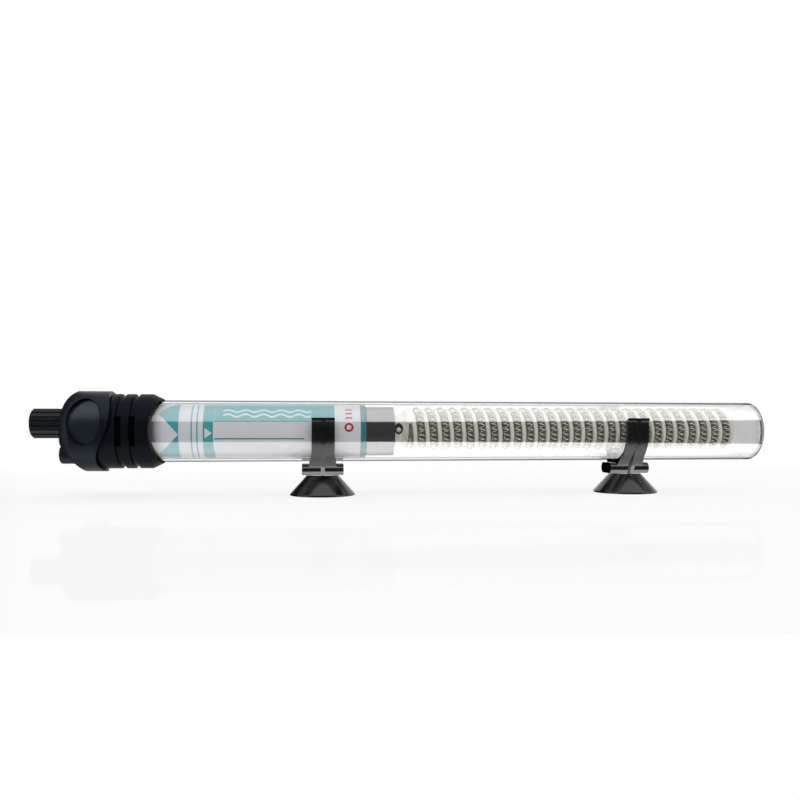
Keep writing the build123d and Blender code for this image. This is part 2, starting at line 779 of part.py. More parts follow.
# Return wire: through the former's bore, round its far end and back to the coil's last turn.
coil_end = Vector(*winding_points[-1])
turn_x = former_end_x + far_end_gap
with BuildPart() as return_lead:
    with BuildLine() as return_path:
        Polyline(
            (crimp_end_x, 0, element_z),
            (turn_x, 0, element_z),
            (turn_x, coil_end.Y, element_z),
            (coil_end.X + coil_thickness / 2, coil_end.Y, element_z),
        )
    with BuildSketch(across(crimp_end_x)):
        with Locations((0, element_rise)):
            Circle(core_wire_radius)
    sweep(path=return_path.line, transition=Transition.RIGHT)
finish(return_lead, "return_lead")

heater_lead_x = bimetal_post_x + bimetal_post_length
with BuildPart() as heater_lead:
    with BuildSketch(across(heater_lead_x - 2)):
        with Locations((-former_end_radius + core_wire_radius, element_rise)):
            Circle(core_wire_radius)
    extrude(amount=shield_end_x - heater_lead_x + 2)
finish(heater_lead, "heater_lead")

# ---- Clips and suction cups ---------------------------------------------------------------------

tip_angle = degrees(asin(band_opening_rise / band_outer))
stud_top = cup_height + stud_neck + stud_head


def clip(x, name):
    """One-piece clip: split band, centre rib, tip lips and a foot with the cup's socket."""
    with BuildPart() as piece:
        # Band with its open top, and lips turned out at the tips.
        with BuildSketch(across(x)):
            Circle(band_outer)
            with BuildLine():
                Polyline(
                    (0, 0),
                    (2 * band_outer * cos(radians(tip_angle)), 2 * band_opening_rise),
                    (0, 4 * band_outer),
                    (-2 * band_outer * cos(radians(tip_angle)), 2 * band_opening_rise),
                    close=True,
                )
            make_face(mode=Mode.SUBTRACT)
        extrude(amount=band_width / 2, both=True)
        for side in (-1, 1):
            tip_y = side * (band_outer + arm_lip) * cos(radians(tip_angle))
            root_y = side * (band_inner + 0.2)
            with BuildSketch(across(x)):
                with BuildLine():
                    Polyline(
                        (root_y * cos(radians(tip_angle - 8)), band_outer * sin(radians(tip_angle - 8))),
                        (root_y * cos(radians(tip_angle)), band_inner * sin(radians(tip_angle))),
                        (tip_y, band_opening_rise + 0.6),
                        (tip_y, band_opening_rise - 0.4),
                        close=True,
                    )
                make_face()
            extrude(amount=band_width / 2, both=True)
        # Saddle: the band's lowest part flares out towards the foot.
        with BuildSketch(Plane(origin=(x, 0, axis_z - band_outer - 0.4), x_dir=(1, 0, 0), z_dir=(0, 0, 1))):
            Rectangle(saddle_width, foot_depth)
        with BuildSketch(Plane(origin=(x, 0, axis_z - 0.62 * band_outer), x_dir=(1, 0, 0), z_dir=(0, 0, 1))):
            Rectangle(band_width, 1.35 * band_outer)
        loft()
        # Centre rib, running from tip to tip under the band and down over the foot.
        with BuildSketch(across(x)):
            Circle(band_outer + rib_height)
            with BuildLine():
                Polyline(
                    (-foot_depth / 2 - rib_height, -foot_bottom),
                    (-0.8 * band_outer, -0.75 * band_outer),
                    (0.8 * band_outer, -0.75 * band_outer),
                    (foot_depth / 2 + rib_height, -foot_bottom),
                    close=True,
                )
            make_face()
            with BuildLine():
                Polyline(
                    (0, 0),
                    (2 * band_outer * cos(radians(tip_angle)), 2 * band_opening_rise),
                    (0, 4 * band_outer),
                    (-2 * band_outer * cos(radians(tip_angle)), 2 * band_opening_rise),
                    close=True,
                )
            make_face(mode=Mode.SUBTRACT)
        extrude(amount=rib_thickness / 2, both=True)
        # Foot: a bar along the tube with a rounded front and back.
        with BuildSketch(across(x)):
            with Locations((0, -foot_bottom + foot_height / 2)):
                SlotOverall(foot_depth, foot_height)
        extrude(amount=foot_length / 2, both=True)
        # Seat on the tube.
        with BuildSketch(across(x)):
            Circle(band_inner)
        extrude(amount=foot_length, both=True, mode=Mode.SUBTRACT)
        # Socket for the cup's stud.
        with BuildSketch(Plane(origin=(x, 0, axis_z - foot_bottom), x_dir=(1, 0, 0), z_dir=(0, 0, 1))):
            Circle(stud_neck_radius + running_gap)
        extrude(amount=stud_neck + running_gap, mode=Mode.SUBTRACT)
        with BuildSketch(Plane(origin=(x, 0, axis_z - foot_bottom + stud_neck), x_dir=(1, 0, 0),
                               z_dir=(0, 0, 1))):
            Circle(stud_head_radius + running_gap)
        extrude(amount=stud_head + running_gap, mode=Mode.SUBTRACT)
    finish(piece, name)


def cup(x, name):
    """Suction cup: a hollow cone with a flat rim, and a stud that snaps into the clip's foot."""
    with BuildPart() as piece:
        with BuildSketch(Plane(origin=(x, 0, 0), x_dir=(1, 0, 0), z_dir=(0, -1, 0))):
            with BuildLine():
                Polyline(
                    (cup_rim_radius, cup_edge),
                    (cup_rim_radius, 0),
                    (0, 0),
                    (0, stud_top),
                    (stud_head_radius - 0.8, stud_top),
                    (stud_head_radius, stud_top - 0.9),
                    (stud_head_radius, cup_height + stud_neck + running_gap),
                    (stud_neck_radius, cup_height + stud_neck + running_gap),
                    (stud_neck_radius, cup_height),
                    (cup_top_radius, cup_height),
                )
                Line((cup_top_radius, cup_height), (cup_rim_radius, cup_edge))
            make_face()
            with BuildLine():
                Polyline(
                    (0, 0),
                    (cup_rim_radius - cup_land, 0),
                    (0.6 * cup_rim_radius, 0.62 * cup_hollow),
                    (0.25 * cup_rim_radius, cup_hollow),
                    (0, cup_hollow),
                    close=True,
                )
            make_face(mode=Mode.SUBTRACT)
        revolve(axis=Axis((x, 0, 0), (0, 0, 1)))
    finish(piece, name)


for side, place in clip_positions.items():
    clip(place, f"clip_{side}")
    cup(place, f"cup_{side}")
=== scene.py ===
# %% [markdown]
# # A submersible aquarium heater
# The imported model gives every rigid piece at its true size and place, in metres. This lesson dresses it:
# clear glass over a printed sleeve, a ceramic former with its coiled wire, matt rubber and moulded plastic.
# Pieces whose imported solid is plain, such as the coil, are replaced by finer ones in the same place.

# %% Frame
from math import cos, pi, radians, sin, sqrt

import bpy
import bmesh
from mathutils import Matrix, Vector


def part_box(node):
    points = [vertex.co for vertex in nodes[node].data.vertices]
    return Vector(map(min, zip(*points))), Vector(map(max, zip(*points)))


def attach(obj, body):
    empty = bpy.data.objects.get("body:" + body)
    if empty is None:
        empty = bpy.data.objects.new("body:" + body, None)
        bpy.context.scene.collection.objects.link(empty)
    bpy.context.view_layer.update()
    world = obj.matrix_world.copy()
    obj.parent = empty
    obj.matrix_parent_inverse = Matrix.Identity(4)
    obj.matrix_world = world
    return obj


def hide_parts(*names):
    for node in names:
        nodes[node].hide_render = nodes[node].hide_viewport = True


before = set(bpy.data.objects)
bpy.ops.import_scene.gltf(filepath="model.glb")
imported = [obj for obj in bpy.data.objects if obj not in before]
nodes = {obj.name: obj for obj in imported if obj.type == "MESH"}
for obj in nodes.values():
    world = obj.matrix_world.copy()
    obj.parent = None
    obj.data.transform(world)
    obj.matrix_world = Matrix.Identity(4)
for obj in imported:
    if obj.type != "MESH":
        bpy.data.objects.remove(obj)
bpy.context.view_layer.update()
mm = 0.001

# %% [markdown]
# The tube's axis is the line that nearly everything is set out from. Its height comes from the glass
# tube's own box, and so do its radius and its two ends.

# %% The tube's axis
tube_low, tube_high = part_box("glass_tube")
tube_radius = (tube_high.z - tube_low.z) / 2
axis_z = (tube_high.z + tube_low.z) / 2
print(f"axis {axis_z / mm:.2f} mm up, tube radius {tube_radius / mm:.2f} mm")


def radius_of(node):
    """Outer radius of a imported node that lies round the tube's axis."""
    low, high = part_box(node)
    return (high.y - low.y) / 2


# %% [markdown]
# ## Shared finishes
# A finish is a tree of nodes. A few helpers keep the trees short: one adds a node and feeds it, and the
# others add the nodes that nearly every finish needs, which are a sum, a change of range and a reading of
# where a point lies on the object.

# %% Node helpers


def add_socket(tree, name, kind, way, default=None):
    """Give a node group a named input or output."""
    socket = tree.interface.new_socket(name=name, in_out=way, socket_type=kind)
    if default is not None:
        socket.default_value = default
    return socket


def add_node(tree, kind, feeds=None, **settings):
    """One node with its settings, and a value or another node's output for each input that is named."""
    made = tree.nodes.new(kind)
    for key, value in settings.items():
        setattr(made, key, value)
    for slot, content in (feeds or {}).items():
        if hasattr(content, "is_output"):
            tree.links.new(content, made.inputs[slot])
        else:
            made.inputs[slot].default_value = content
    return made


def add_math(tree, operation, *values, **settings):
    """The result of one math node on outputs or numbers."""
    feeds = dict(enumerate(values))
    return add_node(tree, "ShaderNodeMath", feeds, operation=operation, **settings).outputs[0]


def add_range(tree, value, span, result=(0.0, 1.0), smooth=False):
    """A reading's span stretched over the result, and held at its ends."""
    feeds = {"Value": value, "From Min": span[0], "From Max": span[1]}
    feeds.update({"To Min": result[0], "To Max": result[1]})
    way = "SMOOTHSTEP" if smooth else "LINEAR"
    return add_node(tree, "ShaderNodeMapRange", feeds, interpolation_type=way).outputs["Result"]


def object_axes(tree):
    """X, Y and Z of a point in the object's own frame."""
    spot = add_node(tree, "ShaderNodeTexCoord").outputs["Object"]
    return add_node(tree, "ShaderNodeSeparateXYZ", {0: spot}).outputs


# %% [markdown]
# Moulded plastic, rubber and fired clay are never one flat colour: a fine grain changes their shade, their
# roughness and their surface a little. One node group makes that grain, and every material uses it with
# its own scale.

# %% Grain group


def new_group(name, inputs, outputs):
    """A shader node group with named numbers; gives the tree and the outputs of its start."""
    tree = bpy.data.node_groups.new(name, "ShaderNodeTree")
    for label, value in inputs.items():
        add_socket(tree, label, "NodeSocketFloat", "INPUT", value)
    for label in outputs:
        add_socket(tree, label, "NodeSocketFloat", "OUTPUT")
    return tree, tree.nodes.new("NodeGroupInput").outputs


def make_grain():
    """Node group: a mottled shade from broad and fine noise, and a height for the bump."""
    tree, start = new_group("moulding_grain", {"Scale": 400.0, "Broadness": 0.1}, ("Shade", "Height"))
    place = add_node(tree, "ShaderNodeTexCoord").outputs["Object"]
    broad_scale = add_math(tree, "MULTIPLY", start["Scale"], start["Broadness"])
    fine = add_node(tree, "ShaderNodeTexNoise", {"Vector": place, "Scale": start["Scale"], "Detail": 4.0})
    broad = add_node(tree, "ShaderNodeTexNoise", {"Vector": place, "Scale": broad_scale, "Detail": 2.0})
    shade = add_node(tree, "ShaderNodeMix", {"Factor": 0.5, "A": fine.outputs[0], "B": broad.outputs[0]})
    add_node(tree, "NodeGroupOutput", {"Shade": shade.outputs["Result"], "Height": fine.outputs[0]})
    return tree


grain = make_grain()
grain_span = (0.3, 0.7)
print("shared group:", grain.name)

# %% [markdown]
# A material helper keeps the recipe short: two shades of one colour, a range of roughness, and the size and
# depth of the grain. Anything that is the same all over goes straight onto the Principled shader.

# %% Material helper


def new_material(name):
    """A node material; gives it, its tree and its Principled shader."""
    material = bpy.data.materials.new(name)
    material.use_nodes = True
    return material, material.node_tree, material.node_tree.nodes["Principled BSDF"]


def shaded(name, dark, light, rough, scale=1500.0, depth=0.02, **sockets):
    """A material whose colour runs from dark to light and whose roughness covers a range, by grain."""
    material, tree, shader = new_material(name)
    mottle = add_node(tree, "ShaderNodeGroup", node_tree=grain)
    mottle.inputs["Scale"].default_value = scale
    shade, height = mottle.outputs["Shade"], mottle.outputs["Height"]
    shades = {"Factor": add_range(tree, shade, grain_span), "A": (*dark, 1.0), "B": (*light, 1.0)}
    tint = add_node(tree, "ShaderNodeMix", shades, data_type="RGBA")
    bump = add_node(tree, "ShaderNodeBump", {"Strength": 0.5, "Distance": depth * mm, "Height": height})
    tree.links.new(tint.outputs["Result"], shader.inputs["Base Color"])
    tree.links.new(add_range(tree, shade, grain_span, rough), shader.inputs["Roughness"])
    tree.links.new(bump.outputs["Normal"], shader.inputs["Normal"])
    for socket, value in sockets.items():
        shader.inputs[socket.replace("_", " ")].default_value = value
    return material


def paint(node, material):
    """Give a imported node, whose shape stays, its finish."""
    nodes[node].data.materials.clear()
    nodes[node].data.materials.append(material)


def repaint(piece, material, picks):
    """Give the faces that a test on their middle and normal picks out a second finish."""
    piece.data.materials.append(material)
    for face in piece.data.polygons:
        if picks(face.center, face.normal):
            face.material_index = 1


# %% [markdown]
# Every new piece ends in the same way: it is shaded smooth up to its sharp edges, it rides on its body, and
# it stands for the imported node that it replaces, if there is one.

# %% Piece helpers


def new_object(name, content):
    """An object for a mesh, lamp or camera, in the scene."""
    piece = bpy.data.objects.new(name, content)
    bpy.context.scene.collection.objects.link(piece)
    return piece


def settle(piece, body, sharp, node=None):
    """Smooth a piece up to edges sharper than an angle in degrees, and put it on its body."""
    mesh = piece.data
    mesh.polygons.foreach_set("use_smooth", [True] * len(mesh.polygons))
    if sharp:
        mesh.set_sharp_from_angle(angle=radians(sharp))
    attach(piece, body)
    if node:
        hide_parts(node)
    return piece


# %% [markdown]
# Most pieces of this heater are turned: an outline swept round an axis. `turned` builds such a piece as a
# clean ring of quads. The outline is a closed list of (along, radius) pairs, so it makes a wall with an
# inside and an outside.

# %% Turned pieces


def turned(name, outline, material, sides=96, node=None):
    """Sweep a closed outline round the tube's axis, in metres, for a piece of the heater's body."""
    shape = bmesh.new()
    rings = []
    for along, radius in outline:
        ring = []
        for side in range(sides):
            angle = 2 * pi * side / sides
            ring.append(shape.verts.new((along, radius * cos(angle), axis_z + radius * sin(angle))))
        rings.append(ring)
    for first, second in zip(rings, rings[1:] + rings[:1]):
        for side in range(sides):
            after = (side + 1) % sides
            shape.faces.new((first[side], first[after], second[after], second[side]))
    bmesh.ops.remove_doubles(shape, verts=shape.verts, dist=1e-7)
    bmesh.ops.recalc_face_normals(shape, faces=shape.faces)
    mesh = bpy.data.meshes.new(name)
    shape.to_mesh(mesh)
    shape.free()
    mesh.materials.append(material)
    return settle(new_object(name, mesh), "heater", 35, node)


def rounded(corners, radius, steps=3):
    """The same outline with each corner turned into a small arc, (along, radius) pairs in metres."""
    outline = []
    for index, (x, r) in enumerate(corners):
        ways = []
        for other in (corners[index - 1], corners[(index + 1) % len(corners)]):
            length = sqrt((other[0] - x) ** 2 + (other[1] - r) ** 2)
            reach = min(radius, 0.45 * length)
            ways.append((x + (other[0] - x) * reach / length, r + (other[1] - r) * reach / length))
        for step in range(steps + 1):
            part = step / steps
            before, corner, after = (1 - part) ** 2, 2 * part * (1 - part), part ** 2
            outline.append((before * ways[0][0] + corner * x + after * ways[1][0],
                            before * ways[0][1] + corner * r + after * ways[1][1]))
    return outline


# %% [markdown]
# Moulded pieces with cut-outs, such as the head and the clips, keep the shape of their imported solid. A copy
# is welded, its flat regions are joined, and a small bevel breaks the sharp edges, because light on a
# rounded edge is what makes a moulding look real.

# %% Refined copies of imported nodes


def refined(node, material, body="heater", bevel=0.25, segments=2, sharp=32):
    """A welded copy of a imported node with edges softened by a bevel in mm, standing for that node."""
    mesh = nodes[node].data.copy()
    mesh.name = node + "_moulding"
    shape = bmesh.new()
    shape.from_mesh(mesh)
    bmesh.ops.remove_doubles(shape, verts=shape.verts, dist=2e-6)
    bmesh.ops.dissolve_limit(shape, angle_limit=radians(0.6), verts=shape.verts, edges=shape.edges)
    bmesh.ops.recalc_face_normals(shape, faces=shape.faces)
    shape.to_mesh(mesh)
    shape.free()
    mesh.materials.clear()
    mesh.materials.append(material)
    piece = new_object(node + "_moulding", mesh)
    if mesh.has_custom_normals:
        piece.select_set(True)
        bpy.context.view_layer.objects.active = piece
        bpy.ops.mesh.customdata_custom_splitnormals_clear()
        piece.select_set(False)
    softener = piece.modifiers.new("softened edges", "BEVEL")
    softener.width = bevel * mm
    softener.segments = segments
    softener.limit_method = "ANGLE"
    softener.angle_limit = radians(sharp)
    softener.harden_normals = True
    softener.use_clamp_overlap = True
    return settle(piece, body, sharp, node)


# %% [markdown]
# ## Black mouldings
# The head is a blue-black moulding with a satin skin, the collar and cups are rubber, and the clips are a
# harder, shinier plastic. All are nearly black, so what tells them apart is how broad their highlights are.

# %% Black finishes
cool_gloss = (0.72, 0.88, 1.0, 1.0)
head_black = shaded("head_plastic", (0.003, 0.005, 0.008), (0.006, 0.009, 0.013), (0.34, 0.44), depth=0.012,
                    Specular_IOR_Level=0.15, Specular_Tint=cool_gloss)
scoop_black = shaded("scoop_plastic", (0.004, 0.006, 0.009), (0.008, 0.012, 0.017), (0.30, 0.40), depth=0.008,
                     Specular_IOR_Level=0.5, Specular_Tint=cool_gloss)
knob_black = shaded("knob_plastic", (0.003, 0.004, 0.005), (0.006, 0.007, 0.009), (0.28, 0.38), depth=0.01,
                    Specular_IOR_Level=0.26, Specular_Tint=cool_gloss)
gland_black = shaded("gland_rubber", (0.004, 0.005, 0.006), (0.008, 0.009, 0.010), (0.45, 0.6), depth=0.02,
                     Specular_IOR_Level=0.26, Specular_Tint=cool_gloss)
collar_black = shaded("collar_rubber", (0.003, 0.004, 0.006), (0.005, 0.007, 0.010), (0.36, 0.48),
                      scale=2500.0, depth=0.02, Specular_IOR_Level=0.05, Specular_Tint=cool_gloss)
# Painted shade: a dead black for the floors of the collar's recesses and the ends of the clips' feet.
recess_painted_shade = shaded("collar_recess_painted_shade", (0.0006, 0.0008, 0.001), (0.001, 0.0012, 0.0015), (0.7, 0.8),
                      depth=0.01, Specular_IOR_Level=0.0)
cup_black = shaded("cup_rubber", (0.003, 0.003, 0.003), (0.006, 0.006, 0.006), (0.08, 0.12), depth=0.001,
                   Specular_IOR_Level=0.5)
print("cool gloss:", cool_gloss[:3])

# %% [markdown]
# The thumb scoop in the head is polished by use, so the faces inside its oval get a glossier finish. They
# are told from the head's skin round them by lying below its radius.

# %% Control head
scoop_x = -129.1 * mm
scoop_z = axis_z + 3.7 * mm
scoop_length = 6.15 * mm
scoop_height = 9.05 * mm
scooped_radius = radius_of("head_shell") - 0.05 * mm


def in_scoop(middle, normal):
    """Is a face inside the scoop's oval, and sunk below the head's skin?"""
    oval = ((middle.x - scoop_x) / scoop_length) ** 2 + ((middle.z - scoop_z) / scoop_height) ** 2
    return oval < 1.0 and sqrt(middle.y ** 2 + (middle.z - axis_z) ** 2) < scooped_radius


head = refined("head_shell", head_black, bevel=0.3)
repaint(head, scoop_black, in_scoop)
print("scoop faces:", sum(face.material_index for face in head.data.polygons))

# %% [markdown]
# Hardly any light gets into the collar's grooves and windows. Their floors face outwards between the glass
# and the collar's skin, and they get a dead matt black that is painted shade. The gland and the fluted knob
# have no such places, so one finish is enough for each.

# %% Collar, gland and knob
recess_radius = radius_of("rubber_collar") - 1.25 * mm
grooves_end_x = tube_low.x + 11 * mm


def in_groove(middle, normal):
    """Is a face the floor of a groove or window, behind the lip?"""
    rise = middle.z - axis_z
    reach = sqrt(middle.y ** 2 + rise ** 2)
    facing_out = (normal.y * middle.y + normal.z * rise) / reach
    between = tube_radius + 0.3 * mm < reach < recess_radius
    return between and facing_out > 0.5 and middle.x < grooves_end_x


collar = refined("rubber_collar", collar_black, bevel=0.2)
# The groove and window floors get the painted-shade black.
repaint(collar, recess_painted_shade, in_groove)
refined("cord_gland", gland_black, bevel=0.15)
refined("adjusting_knob", knob_black, body="knob", bevel=0.12)
print("groove faces:", sum(face.material_index for face in collar.data.polygons))

# %% [markdown]
# The clips are polished where fingers rub them: on the foot, and on the two lips that snap over the tube.
# The band between stays nearly matt, and a coat whose weight follows the height does this. The foot's ends
# get the same near-black painted shade as the recesses. Clips and cups stay out of mirror rays, so the coat
# on the glass doesn't repeat them.

# %% Clips and cups
clip_black = shaded("clip_plastic", (0.004, 0.004, 0.005), (0.007, 0.007, 0.008), (0.30, 0.38), depth=0.006,
                    Specular_IOR_Level=0.3, Coat_IOR=2.5, Coat_Roughness=0.2)
foot_coat, band_coat = 0.62, 0.16
foot_fade = (11.4 * mm, 12.6 * mm)
lip_height = 32.2 * mm
foot_height = 17.2 * mm
clip_tree = clip_black.node_tree
clip_height = object_axes(clip_tree)["Z"]
foot_shine = add_range(clip_tree, clip_height, foot_fade, (foot_coat, band_coat), smooth=True)
lip_shine = add_math(clip_tree, "GREATER_THAN", clip_height, lip_height)
clip_shine = add_math(clip_tree, "MAXIMUM", foot_shine, lip_shine)
clip_tree.links.new(clip_shine, clip_tree.nodes["Principled BSDF"].inputs["Coat Weight"])


def on_foot_end(middle, normal):
    """Is a face on an end of the clip's foot?"""
    return abs(normal.x) > 0.9 and middle.z < foot_height


for side in ("left", "right"):
    clip = refined(f"clip_{side}", clip_black, body=f"clip_{side}", bevel=0.3, segments=3)
    cup = refined(f"cup_{side}", cup_black, body=f"cup_{side}", bevel=0.2)
    # The foot's ends get the painted-shade black.
    repaint(clip, recess_painted_shade, on_foot_end)
    clip.visible_glossy = False
    cup.visible_glossy = False
print("black pieces dressed")

# %% [markdown]
# Coats, prints and stripes all need the same small thing: a mask that is 1 between two values of a reading
# and 0 outside them, with soft edges. One node group makes it for every material.

# %% Band group


def make_band():
    """Node group: 1 where Low < Value < High, with soft edges of width Edge."""
    tree, start = new_group("print_band", {"Value": 0.0, "Low": 0.0, "High": 1.0, "Edge": 0.05}, ("Mask",))
    sides = []
    for upper, lower in (("Value", "Low"), ("High", "Value")):
        gap = add_math(tree, "SUBTRACT", start[upper], start[lower])
        sides.append(add_math(tree, "DIVIDE", gap, start["Edge"], use_clamp=True))
    add_node(tree, "NodeGroupOutput", {"Mask": add_math(tree, "MULTIPLY", *sides)})
    return tree


band = make_band()


def add_band(tree, value, low, high, edge):
    """The band group's mask, for outputs or numbers."""
    feeds = {"Value": value, "Low": low, "High": high, "Edge": edge}
    return add_node(tree, "ShaderNodeGroup", feeds, node_tree=band).outputs["Mask"]


print("shared group:", band.name)

# %% [markdown]
# ## Clear glass
# The tube is drawn from a thin-walled glass pipe whose far end is closed in a flame. It is modelled with a
# real wall, so that light bends at four surfaces as it does in the real tube. Towards the silhouette the
# wall is seen edge-on, and a little more of the light is lost there, which draws the thin grey outline.
# The outside has a hard coat that mirrors the room, weaker over the thermostat than over the heated length.

# %% Glass helper
glass_index = 1.47
coat_index = 3.0
cool_coat = 0.32
shadow_tint = (0.97, 0.97, 0.97, 1.0)


def make_glass(name, clear, edge, rough, rim=(0.66, 0.76), coat=None, hard=1.0):
    """Clear glass: darker where the wall is seen edge-on, with a trace of haze and perhaps a hard coat."""
    material, tree, shader = new_material(name)
    shader.inputs["Transmission Weight"].default_value = 1.0
    shader.inputs["IOR"].default_value = glass_index
    shader.inputs["Base Color"].default_value = (*clear, 1.0)
    haze = add_node(tree, "ShaderNodeGroup", node_tree=grain)
    haze.inputs["Scale"].default_value = 60.0
    film = add_range(tree, haze.outputs["Shade"], grain_span, rough)
    tree.links.new(film, shader.inputs["Roughness"])

    facing = add_node(tree, "ShaderNodeLayerWeight", {"Blend": 0.5}).outputs["Facing"]
    at_rim = add_range(tree, facing, rim)
    dim = add_node(tree, "ShaderNodeBsdfTransparent", {"Color": (*edge, 1.0)}).outputs[0]
    lined = add_node(tree, "ShaderNodeMixShader", {0: at_rim, 1: shader.outputs[0], 2: dim}).outputs[0]

    rays = add_node(tree, "ShaderNodeLightPath").outputs
    unseen = add_math(tree, "MAXIMUM", rays["Is Shadow Ray"], rays["Is Diffuse Ray"])
    passing = add_node(tree, "ShaderNodeBsdfTransparent", {"Color": shadow_tint}).outputs[0]
    choice = add_node(tree, "ShaderNodeMixShader", {0: unseen, 1: lined, 2: passing}).outputs[0]
    tree.links.new(choice, tree.nodes["Material Output"].inputs["Surface"])

    if coat:
        shader.inputs["Coat IOR"].default_value = coat_index
        shader.inputs["Coat Roughness"].default_value = 0.02
        coated = add_band(tree, object_axes(tree)["X"], *coat)
        weight = add_range(tree, coated, (0.0, 1.0), (cool_coat, hard))
        back = add_node(tree, "ShaderNodeNewGeometry").outputs["Backfacing"]
        outside_only = add_math(tree, "MULTIPLY", weight, add_math(tree, "SUBTRACT", 1.0, back))
        tree.links.new(outside_only, shader.inputs["Coat Weight"])
    return material


# %% [markdown]
# The outline runs along the outside to the closed end and back along the inside, with a rounded corner on
# each. The end is where the glass was melted shut, so it is thicker, a little violet and more strongly
# outlined.

# %% Glass tube
shield_low, shield_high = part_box("heat_shield")
heated = (shield_low.x, tube_high.x + mm, 0.3 * mm)
tube_glass = make_glass("clear_glass", (0.985, 0.988, 0.99), (0.46, 0.47, 0.49), (0.0, 0.012), coat=heated)
end_glass = make_glass("end_glass", (0.962, 0.966, 0.995), (0.20, 0.18, 0.13), (0.0, 0.012),
                       rim=(0.50, 0.60), coat=heated, hard=0.55)
tube_wall = 1.0 * mm
end_wall = 1.6 * mm
outer_corner = 1.4 * mm
inner_corner = 0.9 * mm
corner_steps = 8


def glass_line(end_x, radius, corner):
    """A line of the glass wall from the open end to the axis, with its corner rounded."""
    line = [(tube_low.x, radius)]
    for step in range(corner_steps + 1):
        turn = radians(90 * step / corner_steps)
        line.append((end_x - corner * (1 - sin(turn)), radius - corner * (1 - cos(turn))))
    return line + [(end_x, 0.0)]


outside = glass_line(tube_high.x, tube_radius, outer_corner)
inside = glass_line(tube_high.x - end_wall, tube_radius - tube_wall, inner_corner)
melted_x = tube_high.x - end_wall - 1.5 * mm
glass = turned("glass_wall", outside + inside[::-1], tube_glass, sides=128, node="glass_tube")
repaint(glass, end_glass, lambda middle, normal: middle.x > melted_x)
print("glass faces:", len(glass.data.polygons))

# %% [markdown]
# ## Printed sleeve
# A sleeve of white film lies inside the glass, round the thermostat, and its print is what gives the
# heater its colour. The print is worked out from two readings of each point: how far it is along the tube,
# and its angle round the tube, counted up from the front. Every printed shape is then a band between two
# values of a reading, made with the band group.

# %% Print readings
sleeve_low, sleeve_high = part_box("label_sleeve")
sleeve_start = sleeve_low.x / mm
sleeve_end = sleeve_high.x / mm


class Print:
    """Builds the sleeve's print in a material's tree: masks from x in mm and the angle in degrees."""

    def __init__(self, tree):
        self.tree = tree
        place = object_axes(tree)
        self.x = self.math("MULTIPLY", place["X"], 1000.0)
        up = self.math("SUBTRACT", place["Z"], axis_z)
        front = self.math("MULTIPLY", place["Y"], -1.0)
        self.angle = self.math("MULTIPLY", self.math("ARCTAN2", up, front), 180 / pi)
        self.height = self.math("MULTIPLY", up, 1000.0)

    def math(self, operation, *values):
        """The result of one math node."""
        return add_math(self.tree, operation, *values)

    def both(self, first, second):
        """Where two masks overlap."""
        return self.math("MULTIPLY", first, second)

    def away(self, first, second):
        """Distance of a point whose two offsets are given."""
        squares = self.math("ADD", self.math("POWER", first, 2.0), self.math("POWER", second, 2.0))
        return self.math("SQRT", squares)

    def along(self, low, high, edge=0.06):
        """A ring of print between two places in mm from the sleeve's near end."""
        return add_band(self.tree, self.x, sleeve_start + low, sleeve_start + high, edge)

    def around(self, low, high, edge=0.4):
        """A strip of print between two angles."""
        return add_band(self.tree, self.angle, low, high, edge)

    def over(self, below, colour, mask):
        """Lay a flat ink over what is printed so far."""
        feeds = {"Factor": mask, "A": below, "B": (*colour, 1.0)}
        return add_node(self.tree, "ShaderNodeMix", feeds, data_type="RGBA").outputs["Result"]


# %% [markdown]
# The film is white with a cool cast, and the grain's two shades of it are the ground that inks go over. The
# print starts at the head: a row of teal arrowheads, two thin rings, and a teal band with a white pointer.

# %% Film, arrowheads and pointer
film_white = (0.635, 0.637, 0.672)
film_pale = (0.69, 0.695, 0.727)
ink_teal = (0.035, 0.34, 0.37)
ink_dark = (0.02, 0.20, 0.22)
# Painted shade: the collar lip's shadow on the film.
ink_red = (0.42, 0.012, 0.015)
lip_shade_colour = (0.05, 0.05, 0.04)

sleeve_film = shaded("label_film", film_white, film_pale, (0.28, 0.36), scale=300.0, depth=0.004)
film_tree = sleeve_film.node_tree
film_colour = film_tree.nodes["Principled BSDF"].inputs["Base Color"]
art = Print(film_tree)
inked = film_colour.links[0].from_socket

# Arrowheads: their sloping sides are a triangle wave of the angle.
arrow_base = 14.0
arrow_length = 7.9
arrow_half = 45.0
arrow_turn = 7.0
wave = art.math("PINGPONG", art.math("ADD", art.angle, arrow_turn), arrow_half)
tip = art.math("ADD", art.math("MULTIPLY", wave, -arrow_length / arrow_half), sleeve_start + arrow_base - 0.2)
arrows = add_band(film_tree, art.x, tip, sleeve_start + arrow_base, 0.06)
inked = art.over(inked, ink_teal, arrows)
for ring in (18.9, 21.1):
    inked = art.over(inked, ink_teal, art.along(ring - 0.3, ring + 0.3))

# Pointer band with its white triangle and edge line.
pointer_base, pointer_tip = 24.0, 26.9
pointer_turn = 4.0
pointer_slope = -0.27
inked = art.over(inked, ink_teal, art.along(23.3, 27.7))
half_height = art.math("ABSOLUTE", art.math("ADD", art.angle, pointer_turn))
reach = art.math("ADD", art.math("MULTIPLY", half_height, pointer_slope), sleeve_start + pointer_tip)
triangle = add_band(film_tree, art.x, sleeve_start + pointer_base, reach, 0.06)
inked = art.over(inked, film_pale, art.both(triangle, art.around(-14.5, 6.5)))
inked = art.over(inked, film_pale, art.both(art.along(27.3, 27.8), art.around(-40, 20)))
print("print nodes so far:", len(film_tree.nodes))

# %% [markdown]
# Next come a long teal field round the upper half with a rippled white ornament, a fine scale line below
# it, a red ring and three bars, and a closing band. Words and marks that would name a maker are left off.

